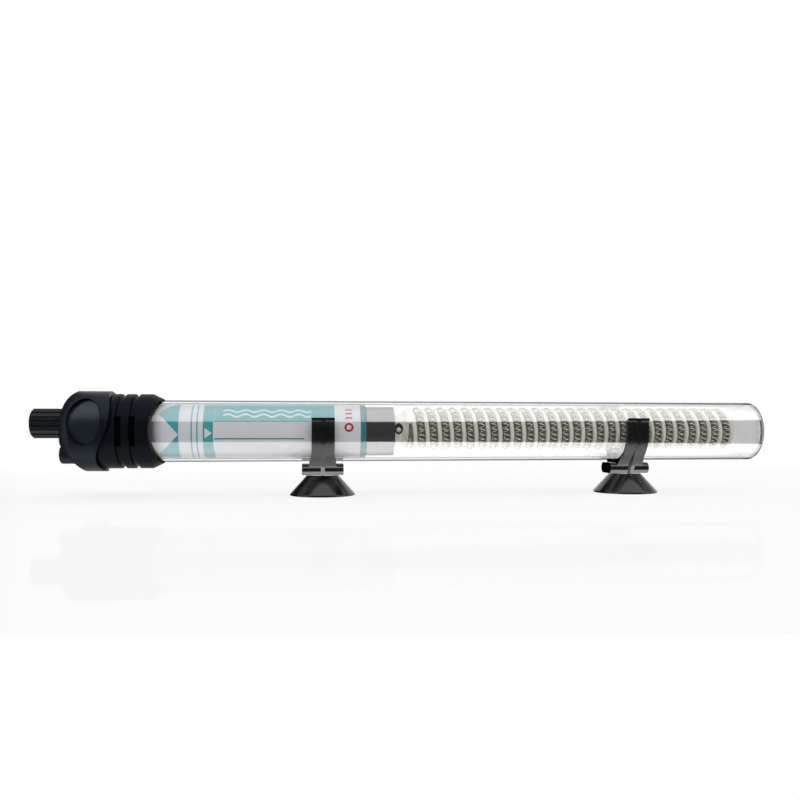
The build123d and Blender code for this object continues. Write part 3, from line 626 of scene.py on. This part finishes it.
# %% Field, ripples and closing band
field_start, field_end, scale_end = 27.7, 75.3, 63.1
field_length = art.along(field_start, field_end)
inked = art.over(inked, ink_teal, art.both(field_length, art.around(20.0, 165.0)))
inked = art.over(inked, ink_dark, art.both(field_length, art.around(19.0, 22.0)))
inked = art.over(inked, ink_dark, art.both(art.along(field_start, scale_end), art.around(-17.2, -14.2, 0.3)))

# Rippled ornament in the field: two white waves of equal length.
ripple_length = 7.0
ripple_sway = 3.2
for middle in (34.0, 46.0):
    swing = art.math("SINE", art.math("MULTIPLY", art.x, 2 * pi / ripple_length))
    sway = art.math("MULTIPLY", swing, ripple_sway)
    off_line = art.math("ABSOLUTE", art.math("SUBTRACT", art.math("SUBTRACT", art.angle, middle), sway))
    ripple = art.both(add_band(film_tree, off_line, -1.0, 2.1, 0.5), art.along(31.0, 66.0, 0.2))
    inked = art.over(inked, film_pale, ripple)

# Red ring and bars near the heating end, then the closing band.
mark_x = 81.0
mark_angle = 8.0
mm_per_degree = 0.19
bar_half, bar_width = 1.4, 5.0
dot_x = art.math("SUBTRACT", art.x, sleeve_start + mark_x)
dot_around = art.math("MULTIPLY", art.math("SUBTRACT", art.angle, mark_angle), mm_per_degree)
dot = add_band(film_tree, art.away(dot_x, dot_around), 0.9, 1.9, 0.12)
inked = art.over(inked, ink_red, dot)
for bar_angle in (26.0, 37.0, 48.0):
    bar_length = art.along(mark_x - bar_half, mark_x + bar_half)
    bar = art.both(bar_length, art.around(bar_angle, bar_angle + bar_width))
    inked = art.over(inked, ink_red, bar)
closing = add_band(film_tree, art.x, sleeve_end - 2.3, sleeve_end + 1.0, 0.06)
inked = art.over(inked, ink_dark, closing)
print("print nodes so far:", len(film_tree.nodes))

# %% [markdown]
# Along the collar's scalloped lip the film gets a painted shade, the lip's shadow, fading out over a few
# millimetres. The lip is a circle of 23 mm round a point on the tube's axis, so the painted shade follows the
# distance from that point.

# %% Painted lip shade and sleeve
lip_sweep = 23.0
lip_centre = -105.5 + lip_sweep
fade_start = lip_sweep - 6.0
fade_width = 4.8
far_off = 60.0
lip_reach = art.away(art.math("SUBTRACT", art.x, lip_centre), art.height)
lip_shade = art.math("POWER", add_band(film_tree, lip_reach, fade_start, far_off, fade_width), 1.8)
near_lip = add_band(film_tree, art.x, sleeve_start - 1.0, lip_centre, 0.06)
# Lay the painted shade along the collar's lip over the print.
inked = art.over(inked, lip_shade_colour, art.math("MULTIPLY", art.both(lip_shade, near_lip), 0.92))
film_tree.links.new(inked, film_colour)

sleeve_radius = radius_of("label_sleeve")
sleeve_bore = sleeve_radius - 0.3 * mm
sleeve_outline = [
    (sleeve_low.x, sleeve_radius),
    (sleeve_high.x, sleeve_radius),
    (sleeve_high.x, sleeve_bore),
    (sleeve_low.x, sleeve_bore),
]
turned("printed_sleeve", sleeve_outline, sleeve_film, sides=128, node="label_sleeve")
print("sleeve print nodes:", len(film_tree.nodes))

# %% [markdown]
# ## Heating element
# The former is a fired ceramic bar with one long round-bottomed groove wound into it. Its shape follows a
# rule: the radius at any point depends only on how far that point is from the groove's middle line, so
# Geometry Nodes can make it. A small class keeps the building of such a tree readable.

# %% Geometry Nodes helper


class Rule:
    """A Geometry Nodes tree with named sizes, put together step by step."""

    def __init__(self, name, sizes):
        self.tree = bpy.data.node_groups.new(name, "GeometryNodeTree")
        self.keys = {}
        for label, value in sizes.items():
            kind = "NodeSocketInt" if isinstance(value, int) else "NodeSocketFloat"
            self.keys[label] = add_socket(self.tree, label, kind, "INPUT", value).identifier
        self.keys["Finish"] = add_socket(self.tree, "Finish", "NodeSocketMaterial", "INPUT").identifier
        add_socket(self.tree, "Shape", "NodeSocketGeometry", "OUTPUT")
        self.start = self.tree.nodes.new("NodeGroupInput")

    def __getitem__(self, label):
        return self.start.outputs[label]

    def node(self, kind, feeds=None, **settings):
        """The first output of one node."""
        return add_node(self.tree, kind, feeds, **settings).outputs[0]

    def math(self, operation, *values):
        """The result of one math node."""
        return add_math(self.tree, operation, *values)

    def ring(self, radius, angle):
        """Y and Z at a radius round the element's axis, and an angle from the top towards the front."""
        y = self.math("MULTIPLY", radius, self.math("MULTIPLY", self.math("SINE", angle), -1.0))
        up = self.math("MULTIPLY", radius, self.math("COSINE", angle))
        return y, self.math("ADD", self["Axis Height"], up)

    def place(self, shape, x, y, z):
        """Put each point of a shape at worked-out coordinates."""
        spot = self.node("ShaderNodeCombineXYZ", {"X": x, "Y": y, "Z": z})
        return self.node("GeometryNodeSetPosition", {"Geometry": shape, "Position": spot})

    def close(self, shape):
        """Real geometry with its material, ready to be turned into a plain mesh."""
        real = self.node("GeometryNodeRealizeInstances", {"Geometry": shape})
        dressed = self.node("GeometryNodeSetMaterial", {"Geometry": real, "Material": self["Finish"]})
        add_node(self.tree, "NodeGroupOutput", {"Shape": dressed})
        print(self.tree.name, "tree nodes:", len(self.tree.nodes))


def grown(name, rule, sizes, material, sharp, node):
    """Run a tree once and keep its result as a plain mesh on the heater's body."""
    piece = new_object(name, bpy.data.meshes.new(name + "_seed"))
    growth = piece.modifiers.new("growth", "NODES")
    growth.node_group = rule.tree
    for label, value in sizes.items():
        growth[rule.keys[label]] = value
    growth[rule.keys["Finish"]] = material
    graph = bpy.context.evaluated_depsgraph_get()
    mesh = bpy.data.meshes.new_from_object(piece.evaluated_get(graph))
    mesh.name = name
    piece.modifiers.remove(growth)
    piece.data = mesh
    return settle(piece, "heater", sharp, node)


# %% [markdown]
# Former and wire share the groove's sizes: its pitch, its turns and the circle that its middle line winds
# round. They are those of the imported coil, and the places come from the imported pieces' boxes.

# %% Element sizes
former_low, former_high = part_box("ceramic_former")
coil_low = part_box("heating_coil")[0]
element_z = (former_low.z + former_high.z) / 2
coil_thickness = 2.6 * mm
winding = {
    "Start": 120 / 360,
    "Turns": 27 + 5 / 12,
    "Pitch": 5.12 * mm,
    "First Turn": coil_low.x + coil_thickness / 2,
    "Centre Radius": 7.8 * mm,
    "Axis Height": element_z,
}
rows_per_turn = 20
former_turns = int((former_high.x - former_low.x) / winding["Pitch"])
former_sizes = {
    **winding,
    "Near End": former_low.x,
    "Far End": former_high.x,
    "Shank End": former_low.x + 3.4 * mm,
    "Cone Length": 1.8 * mm,
    "Groove Radius": 1.75 * mm,
    "Ridge Radius": 8.35 * mm,
    "Shank Radius": 6.4 * mm,
    "Bore Radius": 2.6 * mm,
    "Rows": rows_per_turn * (former_turns + 3),
    "Sides": 60,
}
print("turns of the winding:", winding["Turns"], "rows of the former:", former_sizes["Rows"])

# %% [markdown]
# The former's skin is a grid that is rolled up. Its rows lean by one pitch per turn, so they run along the
# groove and its edges stay crisp, and rows past either end are pressed flat against that end. The first
# step finds where on the former each point of the grid lies.

# %% Former tree: places
former_rule = Rule("grooved_former", former_sizes)
size, calc = former_rule, former_rule.math
around = calc("ADD", size["Sides"], 1.0)
index = former_rule.node("GeometryNodeInputIndex")
row = calc("FLOOR", calc("DIVIDE", calc("ADD", index, 0.5), around))
share = calc("DIVIDE", calc("MODULO", index, around), size["Sides"])
angle = calc("MULTIPLY", share, 2 * pi)
lean = calc("ADD", calc("DIVIDE", calc("SUBTRACT", row, 1.0), float(rows_per_turn)), share)
raw = calc("ADD", size["Near End"], calc("MULTIPLY", calc("SUBTRACT", lean, 1.0), size["Pitch"]))
along = calc("MINIMUM", calc("MAXIMUM", raw, size["Near End"]), size["Far End"])
print("rows per turn:", rows_per_turn)

# %% [markdown]
# Next, the radius: a round-bottomed groove where the point is near the winding's middle line, a ridge
# elsewhere, and a cone down to the plain shank at the near end. Points past the first and last turn keep
# the ridge, so the groove runs out just behind the wire's ends.

# %% Former tree: radius
groove_run_in, groove_run_out = 0.12, 0.3
shoulder = (0.74, 1.36)
turned_by = calc("SUBTRACT", share, size["Start"])
from_first = calc("SUBTRACT", along, size["First Turn"])
phase = calc("SUBTRACT", calc("DIVIDE", from_first, size["Pitch"]), turned_by)
whole = calc("ROUND", phase)
off_line = calc("MULTIPLY", calc("ABSOLUTE", calc("SUBTRACT", phase, whole)), size["Pitch"])
wound = calc("ADD", turned_by, whole)
in_groove = calc("MULTIPLY", calc("GREATER_THAN", wound, -groove_run_in),
                 calc("LESS_THAN", wound, calc("ADD", size["Turns"], groove_run_out)))
chord = calc("SUBTRACT", calc("POWER", size["Groove Radius"], 2.0), calc("POWER", off_line, 2.0))
floor_radius = calc("SUBTRACT", size["Centre Radius"], calc("SQRT", calc("MAXIMUM", chord, 0.0)))
off_share = calc("DIVIDE", off_line, size["Groove Radius"])
flank = add_range(former_rule.tree, off_share, shoulder, smooth=True)
hollowed = calc("MULTIPLY", in_groove, calc("SUBTRACT", 1.0, flank))
ridge_height = calc("SUBTRACT", size["Ridge Radius"], floor_radius)
ridged = calc("SUBTRACT", size["Ridge Radius"], calc("MULTIPLY", hollowed, ridge_height))
past_shank = calc("DIVIDE", calc("SUBTRACT", along, size["Shank End"]), size["Cone Length"])
cone_height = calc("SUBTRACT", size["Ridge Radius"], size["Shank Radius"])
cone = calc("ADD", size["Shank Radius"], calc("MULTIPLY", calc("MAXIMUM", past_shank, 0.0), cone_height))
skin_radius = calc("MINIMUM", ridged, cone)
print("groove flanks end", shoulder[1] * former_sizes["Groove Radius"] / mm, "mm from its middle line")

# %% [markdown]
# The grid's first and last rows are drawn in to the bore, which closes the two end faces. A second, smaller
# grid lines the bore, and merging by distance closes the seams.

# %% Former tree: skin and bore
first_row = calc("LESS_THAN", row, 0.5)
last_row = calc("GREATER_THAN", row, calc("SUBTRACT", size["Rows"], 1.5))
inner = calc("MAXIMUM", first_row, last_row)
radius = calc("ADD", calc("MULTIPLY", inner, size["Bore Radius"]),
              calc("MULTIPLY", calc("SUBTRACT", 1.0, inner), skin_radius))
grid = former_rule.node("GeometryNodeMeshGrid", {"Vertices X": size["Rows"], "Vertices Y": around})
skin = former_rule.place(grid, along, *former_rule.ring(radius, angle))
length = calc("SUBTRACT", size["Far End"], size["Near End"])
bore_x = calc("ADD", size["Near End"], calc("MULTIPLY", row, length))
tube = former_rule.node("GeometryNodeMeshGrid", {"Vertices X": 2, "Vertices Y": around})
tube = former_rule.place(tube, bore_x, *former_rule.ring(size["Bore Radius"], angle))
bore = former_rule.node("GeometryNodeFlipFaces", {"Mesh": tube})
joined = add_node(former_rule.tree, "GeometryNodeJoinGeometry")
former_rule.tree.links.new(skin, joined.inputs[0])
former_rule.tree.links.new(bore, joined.inputs[0])
seams = {"Geometry": joined.outputs[0], "Distance": 2e-6}
former_rule.close(former_rule.node("GeometryNodeMergeByDistance", seams))

# %% [markdown]
# The grooves get a painted shade, darker than the clay, while the ridges and the plain near end stay pale.
# A small group turns the distance from an axis into a mask, and the former's colour runs from that painted
# shade to pale with it.

# %% Radius group


def make_radius_mask():
    """Node group: 0 up to the Inner distance from an axis along X, 1 beyond the Outer one."""
    tree, start = new_group("radius_mask", {"Axis Height": 0.0, "Inner": 0.0, "Outer": 1.0}, ("Mask",))
    axes = object_axes(tree)
    rise = add_math(tree, "SUBTRACT", axes["Z"], start["Axis Height"])
    across = add_node(tree, "ShaderNodeCombineXYZ", {"Y": axes["Y"], "Z": rise}).outputs[0]
    reach = add_node(tree, "ShaderNodeVectorMath", {0: across}, operation="LENGTH").outputs["Value"]
    mask = add_range(tree, reach, (start["Inner"], start["Outer"]), smooth=True)
    add_node(tree, "NodeGroupOutput", {"Mask": mask})
    return tree


radius_mask = make_radius_mask()
print("shared group:", radius_mask.name)

# %% Ceramic former
# Painted shade for the floors of the former's grooves.
groove_shade_colour = (0.19, 0.175, 0.125, 1.0)
groove_shade_reach = {"Axis Height": element_z, "Inner": 7.0 * mm, "Outer": 8.1 * mm}
plain_end_x = former_low.x + 6.0 * mm
ceramic = shaded("fired_ceramic", (0.79, 0.77, 0.69), (0.88, 0.86, 0.78), (0.45, 0.6),
                 scale=900.0, depth=0.03)
clay_tree = ceramic.node_tree
clay_colour = clay_tree.nodes["Principled BSDF"].inputs["Base Color"]
# Painted shade in the grooves; the ridges and the near end keep the clay's own colour.
on_ridge = add_node(clay_tree, "ShaderNodeGroup", groove_shade_reach, node_tree=radius_mask).outputs["Mask"]
plain_end = add_math(clay_tree, "LESS_THAN", object_axes(clay_tree)["X"], plain_end_x)
pale = add_math(clay_tree, "MAXIMUM", on_ridge, plain_end)
clays = {"Factor": pale, "A": groove_shade_colour, "B": clay_colour.links[0].from_socket}
groove_shade = add_node(clay_tree, "ShaderNodeMix", clays, data_type="RGBA")
clay_tree.links.new(groove_shade.outputs["Result"], clay_colour)
former = grown("grooved_former", former_rule, former_sizes, ceramic, 60, "ceramic_former")

# %% [markdown]
# The resistance wire is wound twice: first into a fine spring, and then that spring is wound into the
# groove. A point on it is the groove's middle line plus a small circle that turns many times per turn.

# %% Coiled wire tree
loops_per_turn = 26
coil_sizes = {
    **winding,
    "Loop Radius": 1.15 * mm,
    "Loops": round(loops_per_turn * winding["Turns"]),
    "Steps": 14,
    "Wire Radius": 0.21 * mm,
}
coil_rule = Rule("coiled_wire", coil_sizes)
size, calc = coil_rule, coil_rule.math
count = calc("MULTIPLY", size["Loops"], size["Steps"])
run = calc("DIVIDE", coil_rule.node("GeometryNodeInputIndex"), count)
turns_run = calc("MULTIPLY", run, size["Turns"])
wind = calc("MULTIPLY", calc("ADD", size["Start"], turns_run), 2 * pi)
spin = calc("MULTIPLY", calc("MULTIPLY", run, size["Loops"]), 2 * pi)
reach = calc("ADD", size["Centre Radius"], calc("MULTIPLY", size["Loop Radius"], calc("COSINE", spin)))
middle_x = calc("ADD", size["First Turn"], calc("MULTIPLY", turns_run, size["Pitch"]))
wire_x = calc("ADD", middle_x, calc("MULTIPLY", size["Loop Radius"], calc("SINE", spin)))
thread = coil_rule.node("GeometryNodeMeshLine", {"Count": calc("ADD", count, 1.0)})
thread = coil_rule.place(thread, wire_x, *coil_rule.ring(reach, wind))
path = coil_rule.node("GeometryNodeMeshToCurve", {"Mesh": thread})
section = coil_rule.node("GeometryNodeCurvePrimitiveCircle", {"Resolution": 5, "Radius": size["Wire Radius"]})
sweep = {"Curve": path, "Profile Curve": section, "Fill Caps": True}
coil_rule.close(coil_rule.node("GeometryNodeCurveToMesh", sweep))

# %% [markdown]
# The wire is bright alloy that has run hot, so it is a pale straw metal, not quite pure in its shine.

# %% Coiled wire
wire_metal = shaded("resistance_wire", (0.72, 0.70, 0.60), (0.94, 0.92, 0.82), (0.14, 0.22),
                    scale=1800.0, depth=0.002, Metallic=0.85)
coil = grown("coiled_wire", coil_rule, coil_sizes, wire_metal, 80, "heating_coil")
print("wire faces:", len(coil.data.polygons))

# %% [markdown]
# ## Heat shield and wiring
# The blackened sleeve between the thermostat and the element keeps radiant heat off the contacts. It is a
# short turned tube with rounded rims, and its end is closed by a ceramic disc.

# %% Heat shield
slate = shaded("blackened_tinplate", (0.020, 0.022, 0.025), (0.034, 0.037, 0.041), (0.36, 0.46), depth=0.004)
shield_radius = radius_of("heat_shield")
shield_bore = shield_radius - 0.5 * mm
shield_outline = [
    (shield_low.x, shield_bore),
    (shield_low.x, shield_radius),
    (shield_high.x, shield_radius),
    (shield_high.x, shield_bore),
]
turned("heat_shield_sleeve", rounded(shield_outline, 0.18 * mm), slate, node="heat_shield")
paint("shield_disc", shaded("disc_ceramic", (0.50, 0.48, 0.43), (0.62, 0.60, 0.54), (0.5, 0.65), depth=0.03))
print("shield radius", shield_radius / mm)

# %% [markdown]
# The thermostat behind the print is plain pressed and moulded work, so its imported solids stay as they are
# and only get their own finishes.

# %% Metal, plastic and wire finishes
brass = shaded("brass", (0.55, 0.38, 0.14), (0.68, 0.50, 0.22), (0.25, 0.4), Metallic=1.0)
steel = shaded("bright_steel", (0.48, 0.48, 0.49), (0.60, 0.60, 0.61), (0.22, 0.36), Metallic=1.0)
silver = shaded("contact_silver", (0.70, 0.69, 0.66), (0.84, 0.83, 0.80), (0.2, 0.32), Metallic=1.0)
bimetal = shaded("bimetal", (0.50, 0.45, 0.38), (0.62, 0.57, 0.48), (0.28, 0.42), Metallic=1.0)
magnet = shaded("sintered_magnet", (0.06, 0.06, 0.062), (0.12, 0.12, 0.122), (0.4, 0.6), Metallic=0.4)
carrier = shaded("white_moulding", (0.60, 0.59, 0.55), (0.70, 0.69, 0.66), (0.4, 0.52))
nut_plastic = shaded("nut_plastic", (0.50, 0.06, 0.04), (0.62, 0.09, 0.06), (0.35, 0.5))
capacitor_film = shaded("capacitor_case", (0.52, 0.10, 0.03), (0.62, 0.15, 0.05), (0.25, 0.4))
resistor_body = shaded("resistor_paint", (0.28, 0.42, 0.52), (0.36, 0.50, 0.60), (0.3, 0.45))
brown_sleeve = shaded("brown_insulation", (0.10, 0.04, 0.02), (0.15, 0.06, 0.03), (0.35, 0.5))
blue_sleeve = shaded("blue_insulation", (0.03, 0.10, 0.32), (0.05, 0.14, 0.42), (0.35, 0.5))
tinned = shaded("tinned_wire", (0.50, 0.50, 0.49), (0.64, 0.64, 0.62), (0.25, 0.4), Metallic=1.0)
plug_rubber = shaded("plug_rubber", (0.012, 0.012, 0.012), (0.022, 0.022, 0.022), (0.5, 0.65))
seal_rubber = shaded("seal_rubber", (0.010, 0.010, 0.010), (0.018, 0.018, 0.018), (0.45, 0.6))
eyelet_black = shaded("eyelet_black", (0.012, 0.012, 0.012), (0.03, 0.03, 0.03), (0.3, 0.5))
lamp_glass = make_glass("lamp_glass", (0.95, 0.85, 0.80), (0.75, 0.62, 0.58), (0.0, 0.04))

finishes = {
    "thermostat_frame": carrier,
    "setting_nut": nut_plastic,
    "contact_leaf": brass,
    "bimetal_strip": bimetal,
    "fixed_contact": silver,
    "moving_contact": silver,
    "contact_magnet": magnet,
    "suppression_capacitor": capacitor_film,
    "neon_lamp": lamp_glass,
    "neon_resistor": resistor_body,
    "lead_live": brown_sleeve,
    "lead_neutral": blue_sleeve,
    "heater_lead": tinned,
    "return_lead": tinned,
    "terminal_eyelet": eyelet_black,
    "sealing_plug": plug_rubber,
    "spindle_o_ring": seal_rubber,
    "spindle_bush": brass,
    "knob_spindle": steel,
}
for name, finish in finishes.items():
    paint(name, finish)
print("inner finishes on:", len(finishes))

# %% [markdown]
# A domed white bead in the eyelet's bore is painted light: it stands in for the brightness seen through the
# eyelet. A sphere that is pressed flat along the bore makes it.

# %% Terminal bead
eyelet_low, eyelet_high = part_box("terminal_eyelet")
bead_radius = 1.0 * mm
bead_flatness = 0.6
bead_depth = 0.5 * mm
bead_drop = 0.15 * mm
shape = bmesh.new()
bmesh.ops.create_uvsphere(shape, u_segments=24, v_segments=12, radius=bead_radius)
for point in shape.verts:
    point.co.y *= bead_flatness
    point.co.x += (eyelet_low.x + eyelet_high.x) / 2
    point.co.y += eyelet_low.y + bead_depth
    point.co.z += (eyelet_low.z + eyelet_high.z) / 2 - bead_drop
bead_mesh = bpy.data.meshes.new("terminal_bead")
shape.to_mesh(bead_mesh)
shape.free()
# Painted light: a white bead where the eyelet shows brightness.
bead_mesh.materials.append(shaded("bead_painted_highlight", (0.80, 0.79, 0.76), (0.90, 0.89, 0.87), (0.3, 0.4), depth=0.01))
settle(new_object("terminal_bead", bead_mesh), "heater", None)
print("bead radius:", bead_radius / mm, "mm, eyelet box:", eyelet_low, eyelet_high)

# %% [markdown]
# ## Floor, light and camera
# The studio is plain: a white floor that runs into a white backdrop behind the heater, and keeps the soft
# shadow in front of it. A camera ray sees most of the floor's own brightness, and a faint mirror image. The
# floor is clear to mirror rays, because what glass and shiny plastic mirror of it comes from the world.

# %% Floor
span = 6.0
own_brightness = 0.78
mirror_share = 0.05
backdrop_fade = (0.03, 0.30)
floor_white, floor_tree, floor_shader = new_material("floor_white")
floor_shader.inputs["Base Color"].default_value = (0.95, 0.95, 0.955, 1.0)
floor_shader.inputs["Roughness"].default_value = 0.9
floor_shader.inputs["Specular IOR Level"].default_value = 0.0
rays = add_node(floor_tree, "ShaderNodeLightPath").outputs
lift = add_node(floor_tree, "ShaderNodeEmission").outputs[0]
lift_share = add_math(floor_tree, "MULTIPLY", rays["Is Camera Ray"], own_brightness)
lifted = add_node(floor_tree, "ShaderNodeMixShader", {0: lift_share, 1: floor_shader.outputs[0], 2: lift})
mirror = add_node(floor_tree, "ShaderNodeBsdfGlossy", {"Roughness": 0.03}).outputs[0]
sheen = add_node(floor_tree, "ShaderNodeMixShader", {0: mirror_share, 1: lifted.outputs[0], 2: mirror})
away = add_range(floor_tree, object_axes(floor_tree)["Y"], backdrop_fade, smooth=True)
clear = add_math(floor_tree, "MAXIMUM", rays["Is Glossy Ray"], away)
through = add_node(floor_tree, "ShaderNodeBsdfTransparent").outputs[0]
floor_surface = add_node(floor_tree, "ShaderNodeMixShader", {0: clear, 1: sheen.outputs[0], 2: through})
floor_tree.links.new(floor_surface.outputs[0], floor_tree.nodes["Material Output"].inputs["Surface"])

floor_corners = [(-span, -span, 0), (span, -span, 0), (span, span, 0), (-span, span, 0)]
floor_mesh = bpy.data.meshes.new("studio_floor")
floor_mesh.from_pydata(floor_corners, [], [(0, 1, 2, 3)])
floor_mesh.materials.append(floor_white)
floor = new_object("studio_floor", floor_mesh)
print("floor spans", span * 2, "m")

# %% [markdown]
# What glass and shiny plastic mirror is the room: a bright ceiling panel, a bright floor, a panel at each
# side, and the dim wall behind the camera between them. Behind the heater they meet the backdrop, with a
# dark flag at its left. The world gives rays of each kind what they would meet, by their heading.

# %% World
backdrop_level = 1.0
diffuse_level = 0.82
ceiling_level = 1.6
ground_level = 2.0
wall_level = 0.04
side_level = 1.2
ceiling_edge, ground_edge, side_edge = (0.57, 0.61), (-0.64, -0.68), (0.66, 0.72)
flag_edge, behind_edge = (-0.37, -0.33), (-0.1, 0.25)
world = bpy.data.worlds.new("studio")
bpy.context.scene.world = world
world.use_nodes = True
sky_tree = world.node_tree
sky_tree.nodes.clear()
rays = add_node(sky_tree, "ShaderNodeLightPath").outputs
heading = add_node(sky_tree, "ShaderNodeTexCoord").outputs["Generated"]
ways = add_node(sky_tree, "ShaderNodeSeparateXYZ", {0: heading}).outputs
sideways = add_math(sky_tree, "ABSOLUTE", ways["X"])
ceiling = add_range(sky_tree, ways["Z"], ceiling_edge, (wall_level, ceiling_level))
ground = add_range(sky_tree, ways["Z"], ground_edge, (wall_level, ground_level))
panels = add_range(sky_tree, sideways, side_edge, (wall_level, side_level))
room = add_math(sky_tree, "MAXIMUM", add_math(sky_tree, "MAXIMUM", ceiling, ground), panels)
flagged = add_range(sky_tree, ways["X"], flag_edge, (wall_level, backdrop_level))
behind = add_range(sky_tree, ways["Y"], behind_edge)


def level_by(factor, off, on):
    """One level or another, by a ray's kind or heading."""
    return add_node(sky_tree, "ShaderNodeMix", {"Factor": factor, "A": off, "B": on}).outputs["Result"]


mirrored = level_by(behind, room, flagged)
seen = level_by(rays["Is Camera Ray"], diffuse_level, backdrop_level)
level = level_by(rays["Is Glossy Ray"], seen, mirrored)
white = (1.0, 1.0, 1.0, 1.0)
sky = add_node(sky_tree, "ShaderNodeBackground", {"Color": white, "Strength": level}).outputs[0]
add_node(sky_tree, "ShaderNodeOutputWorld", {"Surface": sky})
print("world levels:", backdrop_level, diffuse_level, ceiling_level, ground_level, wall_level, side_level)

# %% [markdown]
# One soft lamp above and in front of the heater adds a little shape to the mouldings. The camera stands
# level with the tube's axis, a little to the left of its middle, and its shift keeps the tube just below
# the middle of the frame.

# %% Key lamp and camera
lamp_data = bpy.data.lights.new("ceiling_softbox", "AREA")
lamp_data.shape = "RECTANGLE"
lamp_data.size = 0.9
lamp_data.size_y = 0.5
lamp_data.energy = 1.0
lamp = new_object("ceiling_softbox", lamp_data)
lamp.location = (-0.05, -0.35, 0.75)
lamp.rotation_euler = (radians(25), 0, 0)
lamp.visible_glossy = False
lamp.visible_transmission = False

camera_data = bpy.data.cameras.new("camera")
camera_data.lens = 34.6
camera_data.sensor_width = 36.0
camera_data.shift_y = 0.039
camera = new_object("camera", camera_data)
camera.location = (-43.5 * mm, -321.4 * mm, axis_z)
camera.rotation_euler = (radians(90), 0, radians(-6.82))
bpy.context.scene.camera = camera
bpy.context.scene.view_settings.view_transform = "Standard"
print("camera at", tuple(round(v, 4) for v in camera.location))
